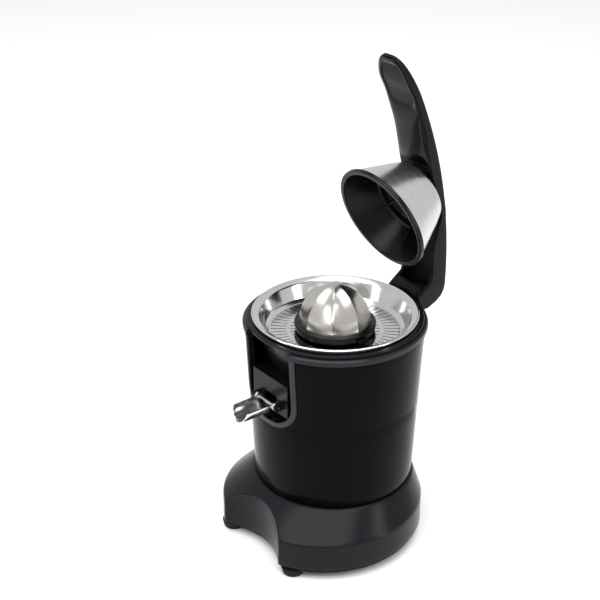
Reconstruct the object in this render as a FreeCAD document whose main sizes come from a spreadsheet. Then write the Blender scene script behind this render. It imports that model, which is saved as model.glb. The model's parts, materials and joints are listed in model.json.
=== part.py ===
"""Citrus press juicer with a lever, a tilting press dome and a geared drive, in millimetres.

The drive axis is vertical through x = 0, y = frame_y. The table is z = 0, the spout faces -Y and
the lever hinge stands at the back, +Y. The lever and the dome are drawn pressed down and then
turned back about the hinge, which is how the juicer stands at rest.
"""
import FreeCAD, Part

import math
import os

import Sketcher
from FreeCAD import Placement, Rotation, Vector

DIMENSIONS = {
    # whole juicer
    "frame_y": -4.4, "wall": 3.0, "gap": 0.3,
    # base
    "base_radius": 107.0, "base_setback": 15.5, "base_low": 12.0, "base_high": 42.0,
    "shoulder_high": 67.0, "bite_radius": 78.0, "bite_setback": 174.0, "foot_radius": 12.5,
    "foot_drop": 8.0,
    # body
    "sleeve_low_radius": 84.0, "sleeve_top_radius": 92.5, "rim_radius": 95.0, "rim_high": 245.0,
    "rim_lip": 6.0, "liner_radius": 87.0, "liner_floor": 196.0, "notch_half": 34.0,
    "notch_low": 159.0, "notch_corner": 20.0, "lip_width": 5.5, "recess_half": 33.0,
    "recess_back": 48.0, "post_radius": 9.0, "post_top": 241.0,
    # drive
    "shaft_radius": 4.0, "motor_back": 46.0, "motor_radius": 31.0, "motor_low": 56.0,
    "motor_high": 106.0, "plate_low": 114.0, "gear_low": 124.0, "gear_face": 8.0,
    "cover_low": 149.0, "first_module": 1.0, "second_module": 1.25, "pinion_teeth": 12.0,
    "wheel_teeth": 48.0, "output_teeth": 52.0, "tip_top": 250.0,
    # lever and dome, pressed down
    "hinge_y": 103.0, "hinge_z": 245.0, "hinge_radius": 3.0, "open_angle": 69.0,
    "lever_width": 48.0, "lever_skin": 4.0, "lever_top": 312.3, "lever_end": 157.5,
    "grip_start": 27.0, "grip_end": 127.0, "pivot_z": 299.0,
    "dome_radius": 57.5, "dome_low": 236.0, "dome_top": 292.0, "dome_skin": 1.5, "dome_ribs": 6,
    # bowl, strainer and cones
    "bowl_radius": 82.0, "bowl_foot_radius": 67.0, "bowl_floor": 198.0, "flange_radius": 91.0,
    "outlet_skin": 2.5, "outlet_back": 53.0, "outlet_half": 28.0, "outlet_low": 168.0,
    "outlet_front": 84.0, "spout_z": 178.0,
    "spout_y": -88.5, "spout_length": 38.0, "spout_radius": 13.0,
    "strainer_radius": 86.0, "strainer_rim": 252.0, "strainer_floor": 230.0, "slot_count": 28.0,
    "hub_radius": 18.5, "hub_bore": 13.5, "hub_top": 256.0, "bush_radius": 13.2, "bush_bore": 9.0,
    "small_radius": 28.5, "small_flange": 41.0, "small_top": 277.0, "cone_low": 234.0,
    "large_radius": 37.0, "large_low": 241.0, "large_top": 282.0, "carrier_radius": 42.0,
    "small_ribs": 10.0, "large_ribs": 8.0,
}

doc = FreeCAD.newDocument("CitrusPress")
parts = []


def fill_sheet():
    """Puts every driving dimension in the sheet, one cell and one alias each."""
    sheet = doc.addObject("Spreadsheet::Sheet", "Sizes")
    for row, (alias, value) in enumerate(DIMENSIONS.items(), start=1):
        sheet.set(f"A{row}", alias)
        sheet.set(f"B{row}", str(value))
        sheet.setAlias(f"B{row}", alias)
    doc.recompute()
    return sheet


class Size:
    """A length with the formula that ties it to the sheet."""

    def __init__(self, value, formula=None):
        self.value = float(value)
        self.formula = formula or repr(float(value))

    @staticmethod
    def of(other):
        return other if isinstance(other, Size) else Size(other)

    def __add__(self, other):
        other = Size.of(other)
        return Size(self.value + other.value, f"({self.formula} + {other.formula})")

    def __sub__(self, other):
        other = Size.of(other)
        return Size(self.value - other.value, f"({self.formula} - {other.formula})")

    def __mul__(self, other):
        other = Size.of(other)
        return Size(self.value * other.value, f"({self.formula} * {other.formula})")

    def __truediv__(self, other):
        other = Size.of(other)
        return Size(self.value / other.value, f"({self.formula} / {other.formula})")

    def __neg__(self):
        return Size(-self.value, f"(-{self.formula})")

    __radd__ = __add__

    def __rsub__(self, other):
        return Size.of(other) - self

    def root(self):
        return Size(math.sqrt(self.value), f"sqrt({self.formula})")


class Sizes:
    """Gives each cell of the sheet as a Size, by its alias."""

    def __getattr__(self, alias):
        return Size(DIMENSIONS[alias], f"Sizes.{alias}")


size = Sizes()


def bind(item, prop, length):
    """Ties one property of an object to the sheet."""
    item.setExpression(prop, Size.of(length).formula)


def sketch_on(body, plane, offset=0):
    """Adds a sketch on one origin plane of its body, moved along the plane's normal."""
    sketch = body.newObject("Sketcher::SketchObject", "Sketch")
    base = next(item for item in body.Origin.OriginFeatures if item.Role == plane)
    sketch.AttachmentSupport = (base, "")
    sketch.MapMode = "FlatFace"
    sketch.AttachmentOffset = Placement(Vector(0, 0, Size.of(offset).value), Rotation())
    bind(sketch, "AttachmentOffset.Base.z", offset)
    return sketch


def pin_point(sketch, geometry, point, x, y):
    """Ties one point of a sketch to the sheet by its two distances from the origin."""
    for kind, length in (("DistanceX", Size.of(x)), ("DistanceY", Size.of(y))):
        rule = Sketcher.Constraint(kind, -1, 1, geometry, point, length.value)
        index = sketch.addConstraint(rule)
        bind(sketch, f"Constraints[{index}]", length)


def draw_loop(sketch, corners):
    """Draws a closed loop. A corner is (x, y), or (x, y, via_x, via_y) to reach it by an arc."""
    values = [[Size.of(number).value for number in corner] for corner in corners]
    ends = []
    for index, corner in enumerate(values):
        start = Vector(values[index - 1][0], values[index - 1][1], 0)
        end = Vector(corner[0], corner[1], 0)
        if len(corner) == 4:
            edge = Part.Arc(start, Vector(corner[2], corner[3], 0), end)
        else:
            edge = Part.LineSegment(start, end)
        geometry = sketch.addGeometry(edge)
        forward = sketch.getPoint(geometry, 2).distanceToPoint(end) < 1e-6
        ends.append((geometry, 1, 2) if forward else (geometry, 2, 1))
    for index, (geometry, _, last) in enumerate(ends):
        following, first, _ = ends[(index + 1) % len(ends)]
        sketch.addConstraint(Sketcher.Constraint("Coincident", geometry, last, following, first))
        pin_point(sketch, geometry, last, corners[index][0], corners[index][1])


def draw_circle(sketch, radius, x=0, y=0):
    """Draws a circle tied to the sheet."""
    centre = Vector(Size.of(x).value, Size.of(y).value, 0)
    circle = Part.Circle(centre, Vector(0, 0, 1), Size.of(radius).value)
    geometry = sketch.addGeometry(circle)
    index = sketch.addConstraint(Sketcher.Constraint("Radius", geometry, Size.of(radius).value))
    bind(sketch, f"Constraints[{index}]", radius)
    pin_point(sketch, geometry, 3, x, y)


def new_body(label):
    """Starts a sub-part that is one PartDesign body."""
    body = doc.addObject("PartDesign::Body", label)
    body.Label = label
    parts.append(body)
    return body


def sweep_round(body, corners, cut=False, plane="XZ_Plane", offset=0):
    """Turns a closed outline of (radius, z) corners about the sketch's vertical axis."""
    sketch = sketch_on(body, plane, offset)
    draw_loop(sketch, corners)
    kind = "PartDesign::Groove" if cut else "PartDesign::Revolution"
    feature = body.newObject(kind, "Groove" if cut else "Revolution")
    feature.Profile = sketch
    feature.ReferenceAxis = (sketch, ["V_Axis"])
    feature.Angle = 360
    return feature


def extrude(body, plane, loops, low, length, cut=False, both_ways=False):
    """Pads or pockets loops from a height on the plane's normal; a loop is corners or a circle."""
    sketch = sketch_on(body, plane, low)
    for loop in loops:
        if isinstance(loop, tuple):
            draw_circle(sketch, *loop)
        else:
            draw_loop(sketch, loop)
    feature = body.newObject("PartDesign::Pocket" if cut else "PartDesign::Pad", "Prism")
    feature.Profile = sketch
    feature.Midplane = both_ways
    feature.Reversed = cut and not both_ways
    bind(feature, "Length", length)
    return feature


def repeat_round(body, feature, count):
    """Repeats a feature evenly about the vertical axis."""
    pattern = body.newObject("PartDesign::PolarPattern", "PolarPattern")
    pattern.Originals = [feature]
    axis = next(item for item in body.Origin.OriginFeatures if item.Role == "Z_Axis")
    pattern.Axis = (axis, [""])
    pattern.Angle = 360
    bind(pattern, "Occurrences", count)
    body.Tip = pattern
    return pattern


def place(body, x=0, y=0, z=0):
    """Moves a finished body to its place beside the drive axis."""
    body.Placement = Placement(Vector(0, 0, 0), Rotation())
    bind(body, "Placement.Base.x", Size.of(x))
    bind(body, "Placement.Base.y", Size.of(y) + size.frame_y)
    bind(body, "Placement.Base.z", Size.of(z))


def place_open(body):
    """Turns a body drawn pressed down back about the hinge, and puts it in its place."""
    angle = math.radians(DIMENSIONS["open_angle"])
    body.Placement = Placement(Vector(0, 0, 0), Rotation(Vector(1, 0, 0), -math.degrees(angle)))
    cosine = Size(math.cos(angle), "cos(Sizes.open_angle * 1 deg)")
    sine = Size(math.sin(angle), "sin(Sizes.open_angle * 1 deg)")
    turned_y = size.hinge_y * cosine + size.hinge_z * sine
    turned_z = size.hinge_z * cosine - size.hinge_y * sine
    bind(body, "Placement.Base.y", size.hinge_y - turned_y + size.frame_y)
    bind(body, "Placement.Base.z", size.hinge_z - turned_z)


def rectangle(half_x, low_y, high_y):
    """Corners of a rectangle centred on x = 0."""
    return [(half_x, low_y), (half_x, high_y), (-half_x, high_y), (-half_x, low_y)]


def bitten_disc(radius, bite):
    """Outline of a disc about the base's centre with the front bite taken out."""
    reach = size.bite_setback - size.base_setback
    along = (reach * reach + radius * radius - bite * bite) / (reach * 2)
    side = (radius * radius - along * along).root()
    front = -size.base_setback - along
    return [(side, front, 0, radius - size.base_setback),
            (-side, front, 0, bite - size.bite_setback)]


def sleeve_radius(height):
    """Outer radius of the sleeve at a height."""
    rise = size.rim_high - size.rim_lip - size.shoulder_high
    slope = (size.sleeve_top_radius - size.sleeve_low_radius) / rise
    return size.sleeve_low_radius + (height - size.shoulder_high) * slope


def notch_outline(grow):
    """The U of the front notch, its top left open above the rim."""
    half = size.notch_half + grow
    low = size.notch_low - grow
    corner = size.notch_corner + grow
    bulge = corner * (1 - math.cos(math.radians(45)))
    top = size.rim_high + 10
    return [(half, top), (half, low + corner), (half - corner, low, half - bulge, low + bulge),
            (corner - half, low), (-half, low + corner, bulge - half, low + bulge), (-half, top)]


def base_shell():
    """Moulded base with the front bite and the sloping shoulder."""
    body = new_body("base_shell")
    extrude(body, "XY_Plane", [(size.base_radius, 0, -size.base_setback)], size.base_low,
            size.base_high - size.base_low)
    loft = body.newObject("PartDesign::AdditiveLoft", "Shoulder")
    lower = sketch_on(body, "XY_Plane", size.base_high)
    draw_circle(lower, size.base_radius, 0, -size.base_setback)
    upper = sketch_on(body, "XY_Plane", size.shoulder_high)
    draw_circle(upper, size.sleeve_low_radius + 1.5)
    loft.Profile = lower
    loft.Sections = [upper]
    loft.Ruled = True
    body.Tip = loft
    extrude(body, "XY_Plane", [(size.bite_radius, 0, -size.bite_setback)], size.base_low,
            size.shoulder_high, cut=True)
    extrude(body, "XY_Plane", [bitten_disc(size.base_radius - size.wall,
            size.bite_radius + size.wall)], size.base_low, size.base_high - size.base_low - 2,
            cut=True)
    extrude(body, "XY_Plane", [(size.sleeve_low_radius - 4,)], size.base_low,
            size.shoulder_high, cut=True)
    place(body)


def base_plate():
    """Closing plate under the base."""
    body = new_body("base_plate")
    extrude(body, "XY_Plane", [bitten_disc(size.base_radius - size.wall,
            size.bite_radius + size.wall)], size.foot_drop, size.base_low - size.foot_drop)
    place(body)


def feet():
    """Four rubber feet and the four screws beside them."""
    spots = [(52, -96), (-52, -96), (64, 50), (-64, 50)]
    for number, (x, y) in enumerate(spots, start=1):
        foot = new_body(f"foot_{number}")
        sweep_round(foot, [(0, 0), (size.foot_radius - 1.5, 0), (size.foot_radius, 1.5),
                           (size.foot_radius, size.foot_drop), (0, size.foot_drop)])
        place(foot, x, y)
        screw = new_body(f"base_screw_{number}")
        sweep_round(screw, [(0, size.foot_drop - 2), (3, size.foot_drop - 2),
                            (4, size.foot_drop - 1), (4, size.foot_drop), (0, size.foot_drop)])
        place(screw, x * 0.6, y * 0.6)


def cord_gland():
    """Ring at the back of the base where the mains lead goes in."""
    body = new_body("cord_gland")
    back = size.base_radius - size.base_setback
    extrude(body, "XZ_Plane", [(7.0, 0, 27), (3.6, 0, 27)], -back - 6.5, 6)
    place(body)


def outer_sleeve():
    """Flared outer wall with the U notch at the front."""
    body = new_body("outer_sleeve")
    top = size.rim_high - size.rim_lip
    sweep_round(body, [(size.sleeve_low_radius, size.shoulder_high), (size.sleeve_top_radius, top),
                       (size.sleeve_top_radius - size.wall, top),
                       (size.sleeve_low_radius - size.wall, size.shoulder_high)])
    extrude(body, "XZ_Plane", [notch_outline(0)], 0, 120, cut=True).Reversed = True
    place(body)


def notch_trim():
    """Raised lip round the notch, on the outside of the sleeve."""
    body = new_body("notch_trim")
    top = size.rim_high - size.rim_lip
    low = size.notch_low - 20
    sweep_round(body, [(sleeve_radius(low) + 1.6, low), (sleeve_radius(top) + 1.6, top),
                       (sleeve_radius(top) + 0.1, top), (sleeve_radius(low) + 0.1, low)])
    extrude(body, "XZ_Plane", [notch_outline(0)], 0, 120, cut=True).Reversed = True
    frame = [(120, 120), (120, 260), (-120, 260), (-120, 120)]
    extrude(body, "XZ_Plane", [frame, notch_outline(size.lip_width)], 0, 240, cut=True,
            both_ways=True)
    extrude(body, "XZ_Plane", [frame], 0, 120, cut=True).Reversed = False
    place(body)


def inner_liner():
    """Liner with the rim, the well floor, the drive post and the recess under the outlet."""
    body = new_body("inner_liner")
    top = size.rim_high
    ledge = top - size.rim_lip
    inner = size.liner_radius
    floor = size.liner_floor
    sweep_round(body, [(size.rim_radius, ledge), (size.rim_radius, top - 1.5),
                       (size.rim_radius - 1.5, top), (inner, top), (inner - 2, floor),
                       (20, floor), (14, floor + 6), (size.post_radius + 2, size.post_top - 12),
                       (size.post_radius, size.post_top), (size.shaft_radius + 0.06, size.post_top),
                       (size.shaft_radius + 0.06, floor - 12), (12, floor - 12), (12, floor - 3),
                       (inner - 0.2, floor - 3), (inner + 2.2, ledge)])
    half = size.recess_half + 2.5
    front = (sleeve_radius(size.notch_low) - 4)
    shelf = size.notch_low - 3
    side = (front * front - half * half).root()
    extrude(body, "XY_Plane", [[(half, 2.5 - size.recess_back), (-half, 2.5 - size.recess_back),
            (-half, -side), (half, -side, 0, -front)]], shelf, floor - shelf)
    extrude(body, "XY_Plane", [rectangle(size.recess_half, -110, -size.recess_back)],
            size.notch_low, 120, cut=True)
    extrude(body, "XY_Plane", [[(48, 1.2), (size.liner_radius - 3, 1.2),
            (size.liner_radius - 3, -1.2), (48, -1.2)]], floor - 0.5, 1.7)
    extrude(body, "XY_Plane", [rectangle(9, 78, 86.4)], floor - 0.5, 20)
    extrude(body, "XY_Plane", [(46,), (43.5,)], floor - 0.5, 1.7)
    extrude(body, "XY_Plane", [rectangle(size.recess_half, -110, -size.recess_back)],
            size.notch_low, 120, cut=True)
    place(body)


def gear_train_frame():
    """Plate on columns that carries the motor and the gears, and the cover above it."""
    columns = [(62, 20), (-62, 20), (38, -38), (-38, -38), (-30, 66), (30, 66)]
    plate = new_body("gearbox_plate")
    extrude(plate, "XY_Plane", [(74,)], size.plate_low, 4)
    for x, y in columns:
        extrude(plate, "XY_Plane", [(4, x, y)], size.base_low, size.cover_low - size.base_low)
    extrude(plate, "XY_Plane", [(8, 0, size.motor_back)], size.plate_low - 2, 8, cut=True)
    extrude(plate, "XY_Plane", [(size.shaft_radius + 0.06,)], size.plate_low - 2, 8, cut=True)
    place(plate)
    cover = new_body("gearbox_cover")
    extrude(cover, "XY_Plane", [(76,)], size.cover_low, 3)
    extrude(cover, "XY_Plane", [(9,)], size.cover_low - 1, 8, cut=True)
    place(cover)


def motor():
    """Motor can, winding, rotor core and the shaft with its cut pinion."""
    can = new_body("motor_can")
    radius = size.motor_radius
    sweep_round(can, [(4.1, size.motor_low), (radius, size.motor_low), (radius, size.motor_high),
                      (4.1, size.motor_high), (4.1, size.motor_high - 2),
                      (radius - 2, size.motor_high - 2), (radius - 2, size.motor_low + 2),
                      (4.1, size.motor_low + 2)])
    place(can, 0, size.motor_back)
    winding = new_body("motor_winding")
    sweep_round(winding, [(17, size.motor_low + 6), (radius - 2, size.motor_low + 6),
                          (radius - 2, size.motor_high - 6), (17, size.motor_high - 6)])
    place(winding, 0, size.motor_back)
    core = new_body("rotor_core")
    sweep_round(core, [(4, size.motor_low + 9), (16, size.motor_low + 9),
                       (16, size.motor_high - 9), (4, size.motor_high - 9)])
    place(core, 0, size.motor_back)
    shaft = new_body("rotor_shaft")
    sweep_round(shaft, [(0, size.motor_low - 4), (4, size.motor_low - 4), (4, size.gear_low - 2),
                        (0, size.gear_low - 2)])
    place(shaft, 0, size.motor_back)
    stand = new_body("motor_stand")
    extrude(stand, "XY_Plane", [(26, 0, 0), (22, 0, 0)], size.base_low,
            size.motor_low - size.base_low)
    place(stand, 0, size.motor_back)


def gear_outline(module, teeth, turn):
    """Closed involute outline of a spur gear with a little backlash, turned by an angle."""
    pressure = math.radians(25)
    pitch = module * teeth / 2
    base = pitch * math.cos(pressure)
    tip = pitch + 0.85 * module
    root = pitch - 1.15 * module
    half_tooth = math.pi / (2 * teeth) - 0.09 / pitch
    involute = math.tan(pressure) - pressure
    points = []
    for tooth in range(int(teeth)):
        centre = turn + 2 * math.pi * tooth / teeth
        flank = []
        for step in range(5):
            radius = max(base, root + 0.1) + (tip - max(base, root + 0.1)) * step / 4
            roll = math.acos(base / radius)
            flank.append((radius, half_tooth + involute - (math.tan(roll) - roll)))
        rising = [(root, flank[0][1] + 0.15 / root)] + flank
        for radius, angle in rising:
            points.append((radius, centre - angle))
        for radius, angle in reversed(rising):
            points.append((radius, centre + angle))
    return [Vector(r * math.cos(a), r * math.sin(a), 0) for r, a in points]


def spur(module, teeth, turn, low, face):
    """Solid spur gear from its outline."""
    outline = gear_outline(module, teeth, turn)
    wire = Part.makePolygon(outline + [outline[0]])
    solid = Part.Face(wire).extrude(Vector(0, 0, face))
    solid.translate(Vector(0, 0, low))
    return solid


def add_shape(label, shape, x=0, y=0):
    """Adds a sub-part whose shape is worked out from the sheet's values."""
    feature = doc.addObject("Part::Feature", label)
    feature.Label = label
    feature.Shape = shape
    feature.Placement = Placement(Vector(x, y + DIMENSIONS["frame_y"], 0), Rotation())
    parts.append(feature)


def intermediate_centre():
    """Where the intermediate gear stands: both centre distances are kept."""
    cells = DIMENSIONS
    first = cells["first_module"] * (cells["pinion_teeth"] + cells["wheel_teeth"]) / 2
    second = cells["second_module"] * (cells["pinion_teeth"] + cells["output_teeth"]) / 2
    back = cells["motor_back"]
    y = (second ** 2 - first ** 2 + back ** 2) / (2 * back)
    return math.sqrt(second ** 2 - y ** 2), y


def mesh_turn(driver_teeth, driver_turn, follower_teeth, line_angle):
    """Turn of a follower gear that puts a gap where the driver has a tooth."""
    phase = ((line_angle - driver_turn) * driver_teeth / (2 * math.pi)) % 1
    opposite = line_angle + math.pi
    return opposite - 2 * math.pi / follower_teeth * (0.5 - phase)


def gears():
    """Motor pinion, two-step intermediate gear with its axle, and the output gear."""
    cells = DIMENSIONS
    low, face = cells["gear_low"], cells["gear_face"]
    upper = low + face + 2
    x, y = intermediate_centre()
    small, large, output = cells["pinion_teeth"], cells["wheel_teeth"], cells["output_teeth"]
    first_line = math.atan2(y - cells["motor_back"], x)
    wheel_turn = mesh_turn(small, 0.0, large, first_line)
    second_line = math.atan2(-y, -x)
    output_turn = mesh_turn(small, wheel_turn, output, second_line)

    pinion = spur(cells["first_module"], small, 0.0, low, face)
    collar = Part.makeCylinder(4, 2, Vector(0, 0, low - 2))
    add_shape("rotor_pinion", pinion.fuse(collar), 0, cells["motor_back"])

    step = spur(cells["first_module"], large, wheel_turn, low, face)
    step = step.fuse(spur(cells["second_module"], small, wheel_turn, low + face, face + 5))
    step = step.cut(Part.makeCylinder(3.05, 40, Vector(0, 0, low - 2)))
    add_shape("intermediate_gear", step, x, y)
    axle = Part.makeCylinder(3, cells["cover_low"] - cells["plate_low"] - 4,
                             Vector(0, 0, cells["plate_low"] + 4))
    add_shape("intermediate_axle", axle, x, y)

    wheel = spur(cells["second_module"], output, output_turn, upper, face)
    hub = Part.makeCylinder(12, face + 8, Vector(0, 0, upper - 6))
    bore = Part.makeCylinder(cells["shaft_radius"] + 0.06, 40, Vector(0, 0, upper - 10))
    add_shape("output_gear", wheel.fuse(hub).cut(bore))


def drive_shaft():
    """Shaft through the liner's post with its tapered tip, its return spring and the switch."""
    shaft = new_body("drive_shaft")
    radius = size.shaft_radius
    low = size.plate_low - 6
    sweep_round(shaft, [(0, low), (radius, low), (radius, size.post_top + 1), (0.8, size.tip_top),
                        (0, size.tip_top)])
    place(shaft)
    spring = new_body("shaft_spring")
    spring_low = size.cover_low + 3
    sweep_round(spring, [(radius + 1, spring_low), (radius + 3, spring_low),
                         (radius + 3, spring_low + 26), (radius + 1, spring_low + 26)])
    place(spring)
    collar = new_body("shaft_collar")
    sweep_round(collar, [(radius, spring_low + 26), (radius + 5, spring_low + 26),
                         (radius + 5, spring_low + 29), (radius, spring_low + 29)])
    place(collar)
    plunger = new_body("switch_plunger")
    sweep_round(plunger, [(0, low - 10), (1.5, low - 10), (1.5, low - 2), (2.5, low - 2),
                          (2.5, low - 0.2), (0, low - 0.2)])
    place(plunger)
    switch = new_body("start_switch")
    sweep_round(switch, [(1.8, low - 16), (5, low - 16), (5, low - 5), (1.8, low - 5)])
    place(switch)
    board = new_body("switch_board")
    extrude(board, "XY_Plane", [rectangle(12, -30, 8)], low - 18, 2)
    extrude(board, "XY_Plane", [rectangle(5, -30, -24)], size.base_low, low - 18 - size.base_low)
    place(board)


def hinge():
    """Bracket behind the rim and the pin the lever turns on."""
    bracket = new_body("hinge_bracket")
    y, z, low = size.hinge_y, size.hinge_z, size.hinge_z - 30
    reach = 9.0
    extrude(bracket, "YZ_Plane", [[(80, low + 6), (y, low + 6), (y + reach, low + 18),
            (y + reach, z), (y - reach, z, y, z + reach), (y - reach, z - 4), (80, z - 4)]],
            0, 36, both_ways=True)
    sweep_round(bracket, [(0, low - 5), (size.sleeve_top_radius + 0.1, low - 5),
                          (size.sleeve_top_radius + 0.1, z - 6), (size.rim_radius + 0.1, z - 6),
                          (size.rim_radius + 0.1, z + 12), (0, z + 12)], cut=True)
    extrude(bracket, "YZ_Plane", [(size.hinge_radius, y, z)], 0, 60, cut=True, both_ways=True)
    place(bracket)
    pin = new_body("hinge_pin")
    extrude(pin, "YZ_Plane", [(size.hinge_radius, y, z)], 0, size.lever_width - 4, both_ways=True)
    place(pin)
    for number, side in enumerate((1, -1), start=1):
        coil = new_body(f"hinge_spring_{number}")
        extrude(coil, "YZ_Plane", [(5.4, y, z), (3.4, y, z)], side * 19 - 0.8, 1.6)
        place(coil)


def lever():
    """Lever shell, the cover let into its underside, its screws and the dome's pin."""
    y, z = size.hinge_y, size.hinge_z
    top, tip, skin = size.lever_top, size.lever_end, size.lever_skin
    start, end = size.grip_start, size.grip_end
    shell = new_body("lever_shell")
    outline = [(y + 15, z), (y + 15.5, z + 20), (56, top - 16.3, 90, top - 28.5),
               (-80, top, -12, top - 2.6), (-155, top - 8.3, -118, top - 2.3),
               (-tip, top - 10.5), (-155, top - 12.4), (-end, top - 12.0), (-109, top - 9.4),
               (-69, top - 9.9), (-47, top - 12.7), (-start, top - 15.9), (8, top - 16.6),
               (25, z + 50), (33, z + 46), (42, z + 36), (77, z + 21.5, 60, z + 27.5), (93, z + 14),
               (y - 8, z + 7), (y - 8, z - 5), (y - 4, z - 9)]
    extrude(shell, "YZ_Plane", [outline], 0, size.lever_width, both_ways=True)
    cavity = [(y + 30, z - 30), (y + 30, z + 9), (56, top - 21.8), (8, top - 8.4),
              (-80, top - 3.5), (-118, top - 6), (-end - 1, top - 7.2), (-end - 1, top - 40),
              (60, top - 40), (70, z - 30)]
    extrude(shell, "YZ_Plane", [cavity], 0, size.lever_width - skin * 2, cut=True, both_ways=True)
    extrude(shell, "YZ_Plane", [(size.hinge_radius + 0.05, y, z)], 0, size.lever_width - 3.8,
            cut=True, both_ways=True)
    half = size.lever_width / 2
    around_tip = [(half + 6, -115), (half + 6, -tip - 10), (-half - 6, -tip - 10),
                  (-half - 6, -115), (-half, -115), (-9, 2 - tip, 2.5 - half, -139),
                  (9, 2 - tip, 0, -tip), (half, -115, half - 2.5, -139)]
    extrude(shell, "XY_Plane", [around_tip], top - 40, 60, cut=True)
    place_open(shell)

    cover = new_body("lever_cover")
    under = [(-end, top - 12.4), (-109, top - 9.8), (-69, top - 10.3), (-47, top - 13.1),
             (-start - 1, top - 16.2), (-start - 1, top - 14.2), (-47, top - 11.1),
             (-69, top - 8.3), (-109, top - 7.8), (-end, top - 10.4)]
    extrude(cover, "YZ_Plane", [under], 0, size.lever_width - skin * 2 - size.gap * 2,
            both_ways=True)
    for along in (-62, -118):
        extrude(cover, "XY_Plane", [(3.1, 0, along)], top - 30, 60, cut=True)
    place_open(cover)
    for number, (along, head) in enumerate(((-62, 11.0), (-118, 11.4)), start=1):
        screw = new_body(f"lever_screw_{number}")
        extrude(screw, "XY_Plane", [(2.8, 0, along)], top - head, 1.4)
        extrude(screw, "XY_Plane", [(1.3, 0, along)], top - head + 1.4, 3.8)
        place_open(screw)

    pin = new_body("dome_pin")
    extrude(pin, "YZ_Plane", [(2.5, 0, size.pivot_z)], 0, size.lever_width - skin * 2,
            both_ways=True)
    place_open(pin)


def dome():
    """Press dome: brushed shell, rim ring, ribbed inner shell and the lug it hangs from."""
    radius, low, top, skin = size.dome_radius, size.dome_low, size.dome_top, size.dome_skin
    shell = new_body("dome_shell")
    sweep_round(shell, [(radius - 0.6, low + 4), (radius - 17, top - 14),
                        (radius - 31, top - 1, radius - 21, top - 5), (8, top),
                        (8, top - skin), (radius - 32, top - 1 - skin),
                        (radius - 18.6, top - 15.2, radius - 23, top - 6.6),
                        (radius - 2.3, low + 4)])
    place_open(shell)
    ring = new_body("dome_ring")
    sweep_round(ring, [(radius - 4, low), (radius, low), (radius + 0.8, low + 1.5),
                       (radius, low + 4), (radius - 4, low + 4)])
    place_open(ring)
    liner = new_body("dome_liner")
    sweep_round(liner, [(radius - 4.2, low + 4.2), (radius - 2.9, low + 4.2),
                        (radius - 19.2, top - 15.4), (radius - 32.6, top - 3.4,
                        radius - 23.6, top - 7.4), (0, top - 3.0), (0, top - 6),
                        (radius - 35, top - 6), (radius - 22, top - 17)])
    rib = extrude(liner, "XZ_Plane", [[(43.5, top - 34), (34.5, top - 15), (21, top - 5),
                  (6, top - 5), (6, top - 9), (20, top - 9), (32.5, top - 18), (42, top - 34)]],
                  0, 1.6, both_ways=True)
    repeat_round(liner, rib, size.dome_ribs)
    place_open(liner)
    hub = new_body("dome_hub")
    sweep_round(hub, [(0, top - 2.8), (7.8, top - 2.8), (7.8, top + 0.2), (16, top + 0.2),
                      (16, top + 1.5), (0, top + 1.5)])
    extrude(hub, "YZ_Plane", [[(-4.4, top + 1), (4.4, top + 1), (4.4, size.pivot_z),
            (-4.4, size.pivot_z, 0, size.pivot_z + 4.4)]], 0, 22, both_ways=True)
    extrude(hub, "YZ_Plane", [(2.55, 0, size.pivot_z)], 0, 60, cut=True, both_ways=True)
    place_open(hub)


def juice_bowl():
    """Juice bowl with its flange and hollow tower, and the outlet box under its front."""
    body = new_body("juice_bowl")
    low, foot, wall = size.bowl_floor, size.bowl_foot_radius, size.bowl_radius
    rest = size.rim_high + size.gap
    sweep_round(body, [(wall, rest), (size.flange_radius, rest), (size.flange_radius, rest + 2.5),
                       (wall - 2, rest + 2.5), (foot - 1.6, low + 4), (foot - 5, low + 2),
                       (33, low + 2), (31.4, low + 4), (18, 233), (16.5, 235), (15, 235),
                       (28.9, 200.5), (29.6, low), (foot - 4, low), (foot, low + 3)])
    half, front = size.outlet_half, size.outlet_front
    skin, back = size.outlet_skin, size.outlet_back
    passage = rectangle(half - skin, skin - front, -back - skin)
    extrude(body, "XY_Plane", [passage], low - 6, 9.5, cut=True)
    place(body)

    outlet = new_body("bowl_outlet")
    extrude(outlet, "XY_Plane", [rectangle(half, -front, -back)], size.outlet_low,
            low + 6 - size.outlet_low)
    sweep_round(outlet, [(0, low), (foot - 4, low), (foot, low + 3), (foot + 1.4, low + 6.5),
                         (0, low + 6.5)], cut=True)
    extrude(outlet, "XY_Plane", [passage], size.outlet_low + skin,
            low + 3.5 - size.outlet_low - skin, cut=True)
    extrude(outlet, "XZ_Plane", [[(10, size.spout_z - 5), (10, size.spout_z + 8),
            (-10, size.spout_z + 8), (-10, size.spout_z - 5)]], 70, 30, cut=True)
    for side in (1, -1):
        extrude(outlet, "XY_Plane", [[(side * 16, -92.5), (side * 19, -92.5), (side * 19, -83),
                (side * 16, -83)]], size.spout_z - 4, 8)
    extrude(outlet, "YZ_Plane", [(1.5, size.spout_y, size.spout_z)], 0, 60, cut=True,
            both_ways=True)
    place(outlet)


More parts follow.
